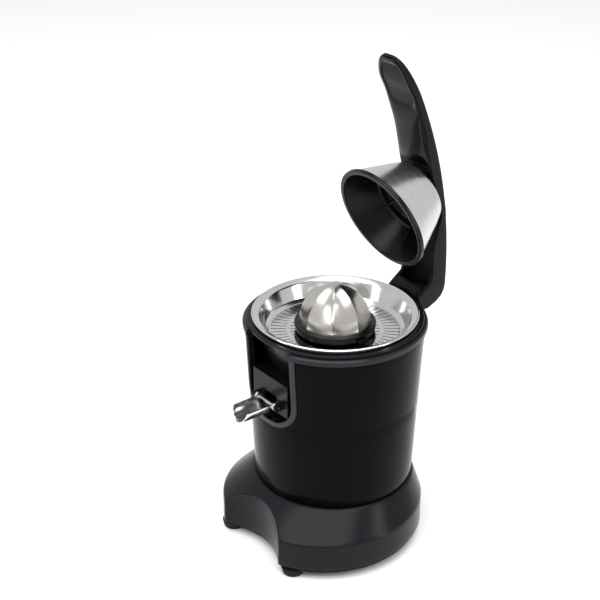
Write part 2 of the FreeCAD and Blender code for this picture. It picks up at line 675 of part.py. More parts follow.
def drip_spout():
    """Half-round drip channel hinged under the outlet, and its pin."""
    spout = new_body("drip_spout")
    radius, z = size.spout_radius, size.spout_z
    far = -size.spout_y + size.spout_length
    start = -size.spout_y - 3.5
    extrude(spout, "XZ_Plane", [[(radius, z + 2), (-radius, z + 2, 0, z + 2 - radius),
            (1.3 - radius, z + 2), (radius - 1.3, z + 2, 0, z + 3.3 - radius)]], start,
            far - start)
    for side in (1, -1):
        extrude(spout, "YZ_Plane", [(4, size.spout_y, z)], side * 14.2 - 1.4, 2.8)
    extrude(spout, "YZ_Plane", [(1.55, size.spout_y, z)], 0, 60, cut=True, both_ways=True)
    place(spout)
    pin = new_body("spout_pin")
    extrude(pin, "YZ_Plane", [(1.5, size.spout_y, z)], 0, 40, both_ways=True)
    place(pin)


def strainer():
    """Stainless strainer dish with radial slots, and the black hub in its middle."""
    dish = new_body("strainer_dish")
    rim, floor = size.strainer_rim, size.strainer_floor
    radius = size.strainer_radius
    rest = size.rim_high + size.gap * 2 + 2.5
    sweep_round(dish, [(radius, rest), (radius, rim), (radius - 1, rim), (radius - 1, rest + 1),
                       (radius - 8, rest + 1), (radius - 13.6, floor + 4),
                       (radius - 16.6, floor + 1), (23.2, floor + 1), (23.2, floor),
                       (radius - 16, floor), (radius - 12.6, floor + 3.6), (radius - 7, rest)])
    outer = extrude(dish, "XY_Plane", [[(50, 1.2), (67, 1.8), (67, -1.8), (50, -1.2)]], floor - 1,
                    4, cut=True)
    repeat_round(dish, outer, size.slot_count)
    inner = extrude(dish, "XY_Plane", [[(28, 0.8), (45, 1.2), (45, -1.2), (28, -0.8)]], floor - 1,
                    4, cut=True)
    repeat_round(dish, inner, size.slot_count)
    place(dish)
    hub = new_body("strainer_hub")
    sweep_round(hub, [(21.2, floor - 1), (23.2, floor - 1), (23.2, floor + 5), (19, floor + 8),
                      (size.hub_radius - 0.5, size.hub_top), (size.hub_bore, size.hub_top),
                      (size.hub_bore, floor + 6.5), (21.2, floor + 4)])
    place(hub)


def cones():
    """Bush, small ribbed cone, and the large fluted cone on its carrier ring."""
    bush = new_body("cone_bush")
    top = size.hub_top
    sweep_round(bush, [(size.bush_bore, 242.5), (size.bush_radius, 242.5),
                       (size.bush_radius, top + 0.3), (16, top + 0.3), (16, top + 2),
                       (size.bush_bore, top + 2)])
    place(bush)

    small = new_body("small_cone")
    low, high, radius = size.cone_low, size.small_top, size.small_radius
    core = radius - 4
    sweep_round(small, [(25.2, low), (size.small_flange, low), (size.small_flange, low + 3),
                        (size.small_flange - 1.5, low + 3), (size.small_flange - 1.5, low + 1.5),
                        (core + 2.6, low + 1.5), (core + 1.8, low + 8),
                        (3, high - 2, core - 2.5, high - 12), (0, high), (0, top + 3.5),
                        (8.94, top + 3.5), (19.6, top + 3.5), (24.6, low + 7)])
    extrude(small, "XY_Plane", [(8.94,)], 243, 20)
    socket = [(0, 242), (5, 242), (0.6, 253), (0, 254)]
    sweep_round(small, socket, cut=True)
    rib = extrude(small, "XZ_Plane", [[(25.4, low + 1), (radius, low + 1),
                  (0.5, high, radius - 6.5, high - 14), (0.5, top + 4), (20.2, top + 4),
                  (25.2, low + 7.5)]], 0, 2, both_ways=True)
    repeat_round(small, rib, size.small_ribs)
    tab = extrude(small, "XY_Plane", [[(size.small_flange - 1, 5), (46, 4), (46, -4),
                  (size.small_flange - 1, -5)]], low, 2)
    repeat_round(small, tab, 2)
    place(small)

    carrier = new_body("cone_carrier")
    sweep_round(carrier, [(34, low + 3.3), (size.carrier_radius, low + 3.3),
                          (size.carrier_radius, size.large_low), (34, size.large_low)])
    place(carrier)
    large = new_body("large_cone")
    base, peak, wide = size.large_low, size.large_top, size.large_radius
    sweep_round(large, [(wide - 5.0, base, wide - 12.2, peak - 15), (wide - 3.2, base),
                        (3, peak - 2, wide - 9.5, peak - 14), (0, peak), (0, peak - 2.6),
                        (2, peak - 3.2)])
    ridge = extrude(large, "XZ_Plane", [[(wide - 4.0, base, wide - 10.5, peak - 14.8),
                    (wide, base), (0.5, peak, wide - 7, peak - 14), (0.5, peak - 1.5)]], 0, 1.6,
                    both_ways=True)
    repeat_round(large, ridge, size.large_ribs)
    place(large)


def check_parts():
    """Stops the script if any object failed or any sub-part has no good shape."""
    bad = [item.Name for item in doc.Objects
           if "Invalid" in item.State or "Error" in item.State]
    for part in parts:
        shape = part.Shape
        if shape.isNull() or not shape.isValid() or not shape.Solids:
            bad.append(part.Label)
    if bad:
        raise SystemExit(f"failed objects: {bad}")


def main():
    fill_sheet()
    for build in (base_shell, base_plate, feet, cord_gland, outer_sleeve, notch_trim, inner_liner,
                  gear_train_frame, motor, gears, drive_shaft, hinge, lever, dome, juice_bowl,
                  drip_spout, strainer, cones):
        build()
        doc.recompute()
    check_parts()
    os.makedirs("parts", exist_ok=True)
    for part in parts:
        part.Shape.exportStep(f"parts/{part.Label}.step")


main()
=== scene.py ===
"""Citrus press juicer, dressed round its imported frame.

Lengths are in millimetres from the drive axis on the table and turned to metres when a mesh is
placed. The lever and the dome are shaped pressed down, then turned back about the hinge.
"""
import json
import logging
import math
from dataclasses import dataclass, field
from enum import Enum
from typing import Any, Sequence

import bmesh
import bpy
from mathutils import Matrix, Vector

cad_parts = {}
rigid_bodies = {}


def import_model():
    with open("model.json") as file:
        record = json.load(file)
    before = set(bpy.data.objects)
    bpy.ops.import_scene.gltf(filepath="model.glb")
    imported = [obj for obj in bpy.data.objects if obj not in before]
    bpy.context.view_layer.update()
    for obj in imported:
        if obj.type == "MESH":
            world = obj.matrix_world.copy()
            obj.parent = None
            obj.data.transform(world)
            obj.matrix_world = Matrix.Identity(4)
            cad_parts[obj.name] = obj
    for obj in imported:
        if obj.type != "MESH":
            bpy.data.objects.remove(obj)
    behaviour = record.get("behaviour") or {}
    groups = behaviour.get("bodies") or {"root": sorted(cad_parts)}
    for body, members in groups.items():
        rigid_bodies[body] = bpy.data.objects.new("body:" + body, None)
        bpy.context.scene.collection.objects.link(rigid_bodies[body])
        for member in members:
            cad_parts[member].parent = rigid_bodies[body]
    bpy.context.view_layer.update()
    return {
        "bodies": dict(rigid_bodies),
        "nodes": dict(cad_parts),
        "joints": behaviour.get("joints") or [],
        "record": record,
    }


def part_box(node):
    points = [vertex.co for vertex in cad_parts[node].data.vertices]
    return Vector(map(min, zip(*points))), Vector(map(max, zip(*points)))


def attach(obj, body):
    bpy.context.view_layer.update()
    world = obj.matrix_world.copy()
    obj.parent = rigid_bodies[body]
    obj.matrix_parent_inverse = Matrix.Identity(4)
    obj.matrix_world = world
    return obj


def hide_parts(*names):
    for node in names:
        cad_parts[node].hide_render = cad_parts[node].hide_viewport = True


log = logging.getLogger("juicer")

METRE = 0.001
FINE_STEPS = 160
Point = tuple[float, float]
MeshData = tuple[list[tuple[float, float, float]], list[tuple[int, ...]]]


class Surface(Enum):
    """How a finish was made, which decides its pattern."""

    MOULDED = "moulded"
    TURNED = "turned"
    POLISHED = "polished"
    RUBBER = "rubber"


def linear(code: str) -> tuple[float, float, float, float]:
    """Turns an sRGB hex colour into linear RGBA.

    Args:
        code: Colour such as "#2b2b30".

    Returns:
        The four linear channels.
    """
    channels = [int(code[place:place + 2], 16) / 255 for place in (1, 3, 5)]
    lines = [c / 12.92 if c <= 0.04045 else ((c + 0.055) / 1.055) ** 2.4 for c in channels]
    return (lines[0], lines[1], lines[2], 1.0)


def add_node(tree: bpy.types.NodeTree, kind: str, settings: dict[str, Any] | None = None,
             links: dict[str | int, Any] | None = None) -> bpy.types.Node:
    """Adds a node with its settings and links.

    Args:
        tree: Tree that gets the node.
        kind: Blender's name of the node type.
        settings: Properties of the node.
        links: Inputs by name or number, each a value or an output socket.

    Returns:
        The new node.
    """
    node = tree.nodes.new(kind)
    for name, value in (settings or {}).items():
        setattr(node, name, value)
    for name, value in (links or {}).items():
        if isinstance(value, bpy.types.NodeSocket):
            tree.links.new(value, node.inputs[name])
        else:
            node.inputs[name].default_value = value
    return node


@dataclass(frozen=True)
class Finish:
    """One real finish: colours, gloss and the size of its pattern."""

    name: str
    slot: str
    surface: Surface
    colour: str
    second_colour: str
    roughness: float
    grain_mm: float
    metallic: float = 0.0
    specular: float = 0.5
    coat: float = 0.0
    relief: float = 0.05
    tilt: float = 0.0
    centre: tuple[float, float, float] = (0.0, 0.0, 0.0)

    def pattern(self, tree: bpy.types.NodeTree) -> tuple[bpy.types.NodeSocket, ...]:
        """Makes the broad and the fine pattern of the surface.

        Args:
            tree: Material's node tree.

        Returns:
            The broad and the fine pattern's outputs, both from 0 to 1.
        """
        place = add_node(tree, "ShaderNodeTexCoord").outputs["Object"]
        if self.surface is Surface.TURNED:
            moved = add_node(tree, "ShaderNodeMapping", {"vector_type": "TEXTURE"}, {
                "Vector": place, "Location": self.centre, "Rotation": (self.tilt, 0.0, 0.0)})
            parts = add_node(tree, "ShaderNodeSeparateXYZ", {}, {0: moved.outputs[0]}).outputs
            turn = add_node(tree, "ShaderNodeMath", {"operation": "ARCTAN2"},
                            {0: parts["Y"], 1: parts["X"]})
            reach = add_node(tree, "ShaderNodeVectorMath", {"operation": "LENGTH"},
                             {0: moved.outputs[0]})
            place = add_node(tree, "ShaderNodeCombineXYZ", {}, {
                "X": reach.outputs["Value"],
                "Y": add_node(tree, "ShaderNodeMath", {"operation": "MULTIPLY"},
                              {0: turn.outputs[0], 1: 0.0012}).outputs[0],
                "Z": parts["Z"]}).outputs[0]
        fine = add_node(tree, "ShaderNodeTexNoise", {}, {
            "Vector": place, "Scale": 1 / (self.grain_mm * METRE), "Detail": 3.0})
        broad = add_node(tree, "ShaderNodeTexNoise", {}, {
            "Vector": place, "Scale": 1 / (40 * METRE), "Detail": 2.0})
        return broad.outputs["Fac"], fine.outputs["Fac"]

    def material(self) -> bpy.types.Material:
        """Builds the material once and gives it back each time."""
        made = bpy.data.materials.get(self.name)
        if made:
            return made
        made = bpy.data.materials.new(self.name)
        made.use_nodes = True
        tree = made.node_tree
        shader = tree.nodes["Principled BSDF"]
        broad, fine = self.pattern(tree)
        mixer = fine if self.surface is Surface.TURNED else broad
        colours = add_node(tree, "ShaderNodeValToRGB", {}, {"Fac": mixer})
        colours.color_ramp.elements[0].position = 0.3
        colours.color_ramp.elements[0].color = linear(self.colour)
        colours.color_ramp.elements[1].position = 0.7
        colours.color_ramp.elements[1].color = linear(self.second_colour)
        tree.links.new(colours.outputs["Color"], shader.inputs["Base Color"])
        spread = add_node(tree, "ShaderNodeMapRange", {}, {
            "Value": mixer, "From Min": 0.3, "From Max": 0.7,
            "To Min": self.roughness * 0.88, "To Max": self.roughness * 1.14})
        tree.links.new(spread.outputs["Result"], shader.inputs["Roughness"])
        bump = add_node(tree, "ShaderNodeBump", {}, {
            "Height": fine, "Strength": self.relief, "Distance": self.grain_mm * METRE * 0.3})
        tree.links.new(bump.outputs["Normal"], shader.inputs["Normal"])
        shader.inputs["Metallic"].default_value = self.metallic
        if self.metallic < 0.5:
            shader.inputs["Specular IOR Level"].default_value = self.specular
        shader.inputs["Coat Weight"].default_value = self.coat
        shader.inputs["Coat Roughness"].default_value = 0.08
        made.diffuse_color = linear(self.colour)
        return made


# Injection-moulded ABS polished in the tool: deep black with a tight, clean gloss.
SLEEVE_GLOSS = Finish("high_gloss_black_abs", "sleeve_gloss", Surface.MOULDED, "#030303",
                      "#040405", 0.14, 3.0, specular=0.05, relief=0.01)
# Charcoal ABS with a faint violet cast, glossy with slight mould orange-peel.
BASE_GLOSS = Finish("charcoal_gloss_abs", "base_moulding", Surface.MOULDED, "#121115",
                    "#16151a", 0.24, 4.0, specular=0.13, relief=0.02)
LINER_GLOSS = Finish("charcoal_liner_abs", "liner_charcoal", Surface.MOULDED, "#17161b",
                     "#1c1b21", 0.2, 4.0, specular=0.2, relief=0.02)
LIP_GLOSS = Finish("charcoal_lip_abs", "notch_lip", Surface.MOULDED, "#1d1c22", "#232229",
                   0.25, 4.0, specular=0.25, relief=0.02)
# Spark-eroded mould texture: dark grey, matte, with a fine even grain.
LEVER_MATTE = Finish("spark_textured_nylon", "lever_black", Surface.MOULDED, "#0f0f0f",
                     "#141415", 0.42, 0.9, specular=0.1, relief=0.12)
LEVER_GLOSS = Finish("gloss_black_grip_abs", "lever_gloss", Surface.MOULDED, "#040405",
                     "#060607", 0.16, 3.0, specular=0.14, relief=0.01)
BOWL_SATIN = Finish("satin_black_polypropylene", "bowl_black", Surface.MOULDED, "#0a0b0c",
                    "#0e0f10", 0.26, 2.0, specular=0.13, relief=0.03)
CONE_GLOSS = Finish("gloss_black_cone_abs", "cone_black", Surface.MOULDED, "#070708", "#0a0a0b",
                    0.18, 2.0, specular=0.18, relief=0.02)
DOME_BLACK = Finish("satin_black_dome_abs", "dome_black", Surface.MOULDED, "#060607", "#0a0a0b",
                    0.25, 2.0, specular=0.16, relief=0.03)
PLATE_MATTE = Finish("matte_black_moulding", "base_plate_black", Surface.MOULDED, "#0c0c0d",
                     "#101011", 0.5, 1.2, relief=0.08, specular=0.15)
FOOT_RUBBER = Finish("black_foot_rubber", "foot_rubber", Surface.RUBBER, "#0f0f0f", "#161616",
                     0.7, 0.8, specular=0.2, relief=0.2)
# Stainless sheet polished on felt: bright, with a very slight haze.
POLISHED_STEEL = Finish("polished_stainless", "strainer_steel", Surface.POLISHED, "#c9c9ca",
                        "#d4d4d5", 0.13, 6.0, metallic=1.0, relief=0.01)
SPOUT_STEEL = Finish("polished_spout_stainless", "spout_steel", Surface.POLISHED, "#cfcfd0",
                     "#dadadb", 0.2, 6.0, metallic=1.0, relief=0.01)
CONE_STEEL = Finish("bead_satin_stainless", "cone_steel", Surface.POLISHED, "#b9b6b2",
                    "#c5c2be", 0.26, 0.8, metallic=1.0, relief=0.04)
SHAFT_STEEL = Finish("ground_shaft_steel", "shaft_steel", Surface.POLISHED, "#a8a8aa",
                     "#b8b8ba", 0.22, 0.6, metallic=1.0, relief=0.03)
ZINC_STEEL = Finish("zinc_plated_steel", "motor_steel", Surface.POLISHED, "#8f9092", "#a3a4a6",
                    0.35, 3.0, metallic=1.0, relief=0.04)
SCREW_STEEL = Finish("zinc_screw_steel", "steel_screw", Surface.POLISHED, "#8f9092", "#a3a4a6",
                     0.3, 2.0, metallic=1.0, relief=0.04)
SPRING_STEEL = Finish("oiled_spring_steel", "spring_steel", Surface.POLISHED, "#6e6f72",
                      "#808184", 0.3, 1.0, metallic=1.0, relief=0.04)
ROTOR_STEEL = Finish("laminated_rotor_steel", "rotor_steel", Surface.TURNED, "#5a5b5e",
                     "#737477", 0.4, 0.5, metallic=1.0, relief=0.15)
COPPER = Finish("enamelled_copper", "winding_copper", Surface.TURNED, "#a4552b", "#c07038", 0.3,
                0.8, metallic=1.0, relief=0.3)
GEAR_ACETAL = Finish("natural_acetal", "gear_white", Surface.MOULDED, "#d6d4ca", "#dedcd3", 0.4,
                     1.5, relief=0.03)
CHASSIS_NYLON = Finish("glass_filled_nylon", "chassis_nylon", Surface.MOULDED, "#2c2c2f",
                       "#38383b", 0.55, 0.7, relief=0.1)
SWITCH_RED = Finish("red_switch_moulding", "switch_red", Surface.MOULDED, "#7a1812", "#8a1e16",
                    0.4, 1.5, relief=0.04)


@dataclass(frozen=True)
class Site:
    """Where the frame puts the drive axis and the hinge, in millimetres, and how far the lever opens.
    """

    axis_y: float
    hinge: Point
    open_angle: float

    @staticmethod
    def read(frame: dict[str, Any]) -> "Site":
        """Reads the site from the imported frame."""
        joints = {joint["name"]: joint for joint in frame["joints"]}
        spin = joints["cone_spin"]["pos_m"][1] / METRE
        hinge = joints["lever_hinge"]["pos_m"]
        angle = math.radians(-joints["lever_hinge"]["range_deg"][0])
        return Site(spin, (hinge[1] / METRE - spin, hinge[2] / METRE), angle)

    def opened(self) -> Matrix:
        """Gives the turn from the pressed-down pose to the raised one, in millimetres."""
        centre = Vector((0, self.hinge[0], self.hinge[1]))
        turn = Matrix.Rotation(-self.open_angle, 4, "X")
        return Matrix.Translation(centre) @ turn @ Matrix.Translation(-centre)

    def to_frame(self) -> Matrix:
        """Gives the move from the drive axis to the frame, with the change to metres."""
        return Matrix.Scale(METRE, 4) @ Matrix.Translation((0, self.axis_y, 0))


def rounded(corners: Sequence[tuple[float, ...]], closed: bool = True,
            steps: int = 5) -> list[Point]:
    """Rounds the corners of an outline.

    Args:
        corners: Each is (x, y) or (x, y, radius).
        closed: Whether the last corner joins the first.
        steps: Edges in each rounded corner.

    Returns:
        The outline's points.
    """
    points: list[Point] = []
    total = len(corners)
    for index, corner in enumerate(corners):
        here = Vector(corner[:2])
        ends = not closed and index in (0, total - 1)
        if len(corner) < 3 or ends or corner[2] <= 0:
            points.append((here.x, here.y))
            continue
        before = Vector(corners[index - 1][:2]) - here
        after = Vector(corners[(index + 1) % total][:2]) - here
        half = before.angle(after) / 2
        reach = min(corner[2] / math.tan(half), before.length * 0.49, after.length * 0.49)
        first = here + before.normalized() * reach
        last = here + after.normalized() * reach
        for step in range(steps + 1):
            share = step / steps
            bend = first.lerp(here, share).lerp(here.lerp(last, share), share)
            points.append((bend.x, bend.y))
    return points


def grid(rows: Sequence[Sequence[Vector]], round_rows: bool = True,
         round_columns: bool = False) -> MeshData:
    """Joins rows of points into faces.

    Args:
        rows: Rows with the same number of points each.
        round_rows: Whether each row closes on itself.
        round_columns: Whether the last row joins the first.

    Returns:
        Vertices and faces.
    """
    wide = len(rows[0])
    verts = [tuple(point) for row in rows for point in row]
    faces = []
    last_row = len(rows) if round_columns else len(rows) - 1
    last_column = wide if round_rows else wide - 1
    for row in range(last_row):
        above = (row + 1) % len(rows)
        for column in range(last_column):
            beside = (column + 1) % wide
            faces.append((row * wide + column, row * wide + beside, above * wide + beside,
                          above * wide + column))
    return verts, faces


def lathe(profile: Sequence[Point], steps: int = FINE_STEPS, closed: bool = True) -> MeshData:
    """Turns an outline of (radius, height) points about the vertical axis."""
    angles = [math.tau * step / steps for step in range(steps)]
    rows = [[Vector((r * math.sin(a), -r * math.cos(a), z)) for a in angles] for r, z in profile]
    return grid(rows, round_columns=closed)


def prism(outline: Sequence[Point], half_width: float) -> MeshData:
    """Extrudes a side outline of (y, z) points to both sides of x = 0."""
    count = len(outline)
    verts = [(x, y, z) for x in (-half_width, half_width) for y, z in outline]
    faces: list[tuple[int, ...]] = [tuple(range(count)), tuple(range(2 * count - 1, count - 1, -1))]
    faces += [(i, (i + 1) % count, (i + 1) % count + count, i + count) for i in range(count)]
    return verts, faces


def oblong(left: float, low: float, right: float, high: float) -> list[Point]:
    """Gives a rectangle's four corners."""
    return [(left, low), (right, low), (right, high), (left, high)]


def shift(data: MeshData, across: float, along: float) -> MeshData:
    """Moves a mesh level, across the machine and along it."""
    return [(x + across, y + along, z) for x, y, z in data[0]], data[1]


def join(*parts: MeshData) -> MeshData:
    """Puts several meshes into one."""
    verts: list[tuple[float, float, float]] = []
    faces: list[tuple[int, ...]] = []
    for some_verts, some_faces in parts:
        start = len(verts)
        verts += some_verts
        faces += [tuple(start + index for index in face) for face in some_faces]
    return verts, faces


@dataclass
class Bench:
    """Makes finished pieces and hangs them on the frame."""

    site: Site

    def shape(self, name: str, data: MeshData, opened: bool = False) -> bpy.types.Object:
        """Makes an object in the frame from a mesh in millimetres about the drive axis.

        Args:
            name: Piece's name.
            data: Vertices and faces.
            opened: Whether the mesh is turned back with the lever.

        Returns:
            The new object, with its place in its mesh.
        """
        mesh = bpy.data.meshes.new(name)
        mesh.from_pydata(data[0], [], data[1])
        work = bmesh.new()
        work.from_mesh(mesh)
        bmesh.ops.remove_doubles(work, verts=work.verts, dist=0.002)
        bmesh.ops.recalc_face_normals(work, faces=work.faces)
        work.to_mesh(mesh)
        work.free()
        turn = self.site.opened() if opened else Matrix.Identity(4)
        mesh.transform(self.site.to_frame() @ turn)
        piece = bpy.data.objects.new(name, mesh)
        bpy.context.scene.collection.objects.link(piece)
        return piece

    def settle(self, piece: bpy.types.Object) -> None:
        """Turns a piece's modifiers into plain mesh."""
        graph = bpy.context.evaluated_depsgraph_get()
        made = bpy.data.meshes.new_from_object(piece.evaluated_get(graph))
        piece.modifiers.clear()
        piece.data = made

    def carve(self, piece: bpy.types.Object, cutter: MeshData, opened: bool = False) -> None:
        """Takes a closed cutter's space out of a piece."""
        tool = self.shape("cutter", cutter, opened)
        cut = piece.modifiers.new("cut", "BOOLEAN")
        cut.object = tool
        cut.solver = "EXACT"
        self.settle(piece)
        bpy.data.objects.remove(tool)

    def repeat_round(self, piece: bpy.types.Object, count: int, finish: Finish,
                     opened: bool = False) -> None:
        """Copies a piece evenly about the axis it stands round, with geometry nodes.

        Args:
            piece: The piece, in place.
            count: Number of copies in the full turn.
            finish: Finish set on the copies.
            opened: Whether that axis is turned back with the lever.
        """
        tree = bpy.data.node_groups.new("copies_round_axis", "GeometryNodeTree")
        face = tree.interface
        face.new_socket("Geometry", in_out="INPUT", socket_type="NodeSocketGeometry")
        face.new_socket("Count", in_out="INPUT", socket_type="NodeSocketInt")
        face.new_socket("Geometry", in_out="OUTPUT", socket_type="NodeSocketGeometry")
        entry = add_node(tree, "NodeGroupInput").outputs
        points = add_node(tree, "GeometryNodePoints", {}, {"Count": entry["Count"]})
        step = add_node(tree, "ShaderNodeMath", {"operation": "DIVIDE"},
                        {0: math.tau, 1: entry["Count"]})
        index = add_node(tree, "GeometryNodeInputIndex")
        turn = add_node(tree, "ShaderNodeMath", {"operation": "MULTIPLY"},
                        {0: index.outputs[0], 1: step.outputs[0]})
        spin = add_node(tree, "ShaderNodeCombineXYZ", {}, {"Z": turn.outputs[0]})
        copies = add_node(tree, "GeometryNodeInstanceOnPoints", {}, {
            "Points": points.outputs[0], "Instance": entry["Geometry"],
            "Rotation": spin.outputs[0]})
        real = add_node(tree, "GeometryNodeRealizeInstances", {}, {0: copies.outputs[0]})
        dressed = add_node(tree, "GeometryNodeSetMaterial", {}, {
            "Geometry": real.outputs[0], "Material": finish.material()})
        add_node(tree, "NodeGroupOutput", {}, {0: dressed.outputs[0]})
        home = self.site.to_frame() @ (self.site.opened() if opened else Matrix.Identity(4))
        piece.data.transform(home.inverted())
        copier = piece.modifiers.new("copies", "NODES")
        copier.node_group = tree
        copier[self.socket(tree, "Count")] = count
        self.settle(piece)
        piece.data.transform(home)

    @staticmethod
    def socket(tree: bpy.types.NodeTree, name: str) -> str:
        """Finds the identifier of a tree's named input."""
        return next(item.identifier for item in tree.interface.items_tree
                    if item.name == name and item.in_out == "INPUT")

    def finish(self, piece: bpy.types.Object, finish: Finish, body: str,
               replaced: Sequence[str] = (), bevel: float = 0.0, sharp: float = 40.0,
               opened: bool = False) -> bpy.types.Object:
        """Gives a piece its material, edges and body.

        Args:
            piece: The piece.
            finish: Its finish.
            body: The body it rides on.
            replaced: Frame nodes it stands for.
            bevel: Width of its rounded edges in millimetres.
            sharp: Angle in degrees past which an edge stays crisp.

        Returns:
            The piece.
        """
        if bevel:
            edge = piece.modifiers.new("edges", "BEVEL")
            edge.width = bevel * METRE
            edge.segments = 3
            edge.limit_method = "ANGLE"
            edge.angle_limit = math.radians(sharp)
            self.settle(piece)
        piece.data.shade_smooth()
        piece.data.set_sharp_from_angle(angle=math.radians(sharp))
        piece.data.materials.clear()
        piece.data.materials.append(finish.material())
        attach(piece, body)
        if replaced:
            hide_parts(*replaced)
        log.info("%s: %d faces on %s", piece.name, len(piece.data.polygons), body)
        return piece


@dataclass
class Base:
    """Moulded base with the scooped front and its rubber feet."""

    bench: Bench
    radius: float = 107.0
    setback: float = 15.5
    low: float = 12.0
    band_top: float = 42.0
    top: float = 67.0
    top_radius: float = 85.5
    scoop_radius: float = 78.0
    scoop_setback: float = 174.0

    def shoulder(self, share: float) -> tuple[float, float]:
        """Gives the shoulder ring's radius and centre at a share of its rise."""
        return (self.radius + (self.top_radius - self.radius) * share, -self.setback * (1 - share))

    def outline(self) -> list[tuple[float, float, bool]]:
        """Gives the band's outline, with whether each point is on the scoop."""
        reach = self.scoop_setback - self.setback
        along = (reach ** 2 + self.radius ** 2 - self.scoop_radius ** 2) / (2 * reach)
        side = math.sqrt(self.radius ** 2 - along ** 2)
        outer = math.atan2(side, along)
        inner = math.atan2(side, reach - along)
        points = []
        for step in range(FINE_STEPS):
            angle = outer + (math.tau - 2 * outer) * step / FINE_STEPS
            points.append((self.radius * math.sin(angle),
                           -self.setback - self.radius * math.cos(angle), False))
        for step in range(41):
            angle = -inner + 2 * inner * step / 40
            points.append((self.scoop_radius * math.sin(angle),
                           self.scoop_radius * math.cos(angle) - self.scoop_setback, True))
        return points

    def meeting_share(self, x: float, y: float) -> float:
        """Finds how far up the shoulder its surface passes over a point of the scoop."""
        low, high = 0.0, 1.0
        for _ in range(30):
            middle = (low + high) / 2
            radius, centre = self.shoulder(middle)
            if math.hypot(x, y - centre) < radius:
                low = middle
            else:
                high = middle
        return low

    def shell(self) -> None:
        """Builds the base shell from its outline, wall and shoulder."""
        columns = []
        for x, y, scooped in self.outline():
            start = self.meeting_share(x, y) if scooped else 0.0
            rise = self.top - self.band_top
            meets = self.band_top + rise * start
            _, centre = self.shoulder(start)
            angle = math.atan2(x, centre - y)
            column = [Vector((x, y, self.low + (meets - self.low) * s / 4)) for s in range(5)]
            for step in range(1, 9):
                share = start + (1 - start) * step / 8
                radius, middle = self.shoulder(share)
                column.append(Vector((radius * math.sin(angle), middle - radius * math.cos(angle),
                                      self.band_top + rise * share)))
            columns.append(column)
        rows = [[column[level] for column in columns] for level in range(13)]
        verts, faces = grid(rows)
        wide = len(columns)
        faces += [tuple(range(wide)), tuple(range(12 * wide, 13 * wide))]
        piece = self.bench.shape("base_housing", (verts, faces))
        self.bench.finish(piece, BASE_GLOSS, "housing", ["base_shell"], bevel=2.0, sharp=24)

    def feet(self) -> None:
        """Builds the four rubber feet where the frame has them."""
        for number in range(1, 5):
            low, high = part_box(f"foot_{number}")
            centre = (low + high) / 2 / METRE
            radius = (high.x - low.x) / 2 / METRE
            drop = high.z / METRE
            side = [(0, 0), (radius - 4, 0, 0.8), (radius - 1.5, 1.0, 0.8), (radius, drop, 0.5),
                    (0, drop)]
            foot = shift(lathe(rounded(side), 48), centre.x, centre.y - self.bench.site.axis_y)
            piece = self.bench.shape(f"rubber_foot_{number}", foot)
            self.bench.finish(piece, FOOT_RUBBER, "housing", [f"foot_{number}"])

    def build(self) -> None:
        """Builds the base and its feet."""
        self.shell()
        self.feet()


@dataclass
class Canister:
    """Flared sleeve with the U notch, and its lip."""

    bench: Bench
    low: float = 67.0
    top: float = 239.0
    low_radius: float = 84.0
    top_radius: float = 92.5
    wall: float = 3.0
    notch_half: float = 34.0
    notch_low: float = 159.0
    notch_corner: float = 24.0
    lip: float = 5.5

    def radius(self, height: float) -> float:
        """Gives the sleeve's outer radius at a height."""
        share = (height - self.low) / (self.top - self.low)
        return self.low_radius + (self.top_radius - self.low_radius) * share

    def edge(self, grow: float, top: float) -> list[Point]:
        """Gives the notch's right side as (half width, height) from its foot to the top."""
        half, low, corner = self.notch_half + grow, self.notch_low - grow, self.notch_corner + grow
        points = [(0.0, low), (half - corner, low)]
        for step in range(1, 13):
            angle = math.pi / 2 * step / 12
            points.append((half - corner + corner * math.sin(angle),
                           low + corner * (1 - math.cos(angle))))
        points += [(half, low + corner + (top - low - corner) * share / 6)
                   for share in range(1, 7)]
        return points

    def sleeve(self) -> None:
        """Builds the sleeve as one bent sheet with the notch left out, then thickened."""
        bottom = [(0.0, self.low + (self.notch_low - self.low) * s / 6) for s in range(6)]
        rows = []
        for half, height in bottom + self.edge(0.0, self.top):
            radius = self.radius(height)
            start = math.asin(half / radius)
            angles = [start + (math.tau - 2 * start) * s / FINE_STEPS
                      for s in range(FINE_STEPS + 1)]
            rows.append([Vector((radius * math.sin(a), -radius * math.cos(a), height))
                         for a in angles])
        piece = self.bench.shape("outer_wall", grid(rows, round_rows=False))
        skin = piece.modifiers.new("wall", "SOLIDIFY")
        skin.thickness = self.wall * METRE
        skin.offset = -1.0
        self.bench.settle(piece)
        self.bench.finish(piece, SLEEVE_GLOSS, "housing", ["outer_sleeve"], bevel=0.5, sharp=50)

    def lip_band(self) -> None:
        """Builds the raised lip that follows the notch."""
        section = [(0.0, -2.0), (0.0, 1.6, 0.6), (self.lip, 1.6, 0.9), (self.lip, 0.1)]
        rows = []
        inner, outer = self.edge(0.0, self.top), self.edge(self.lip, self.top)
        profile = rounded(section)
        right = list(zip(inner, outer))
        left = [((-a[0], a[1]), (-b[0], b[1])) for a, b in reversed(right[1:])]
        for near, far in left + right:
            row = []
            for across, stand in profile:
                share = across / self.lip
                half = near[0] + (far[0] - near[0]) * share
                height = near[1] + (far[1] - near[1]) * share
                radius = self.radius(height) + stand
                angle = math.asin(half / self.radius(height))
                row.append(Vector((radius * math.sin(angle), -radius * math.cos(angle), height)))
            rows.append(row)
        verts, faces = grid(rows)
        wide = len(profile)
        faces += [tuple(range(wide)), tuple(range(len(verts) - wide, len(verts)))]
        piece = self.bench.shape("notch_edge_band", (verts, faces))
        self.bench.finish(piece, LIP_GLOSS, "housing", ["notch_trim"], sharp=50)

    def build(self) -> None:
        """Builds the sleeve and its lip."""
        self.sleeve()
        self.lip_band()


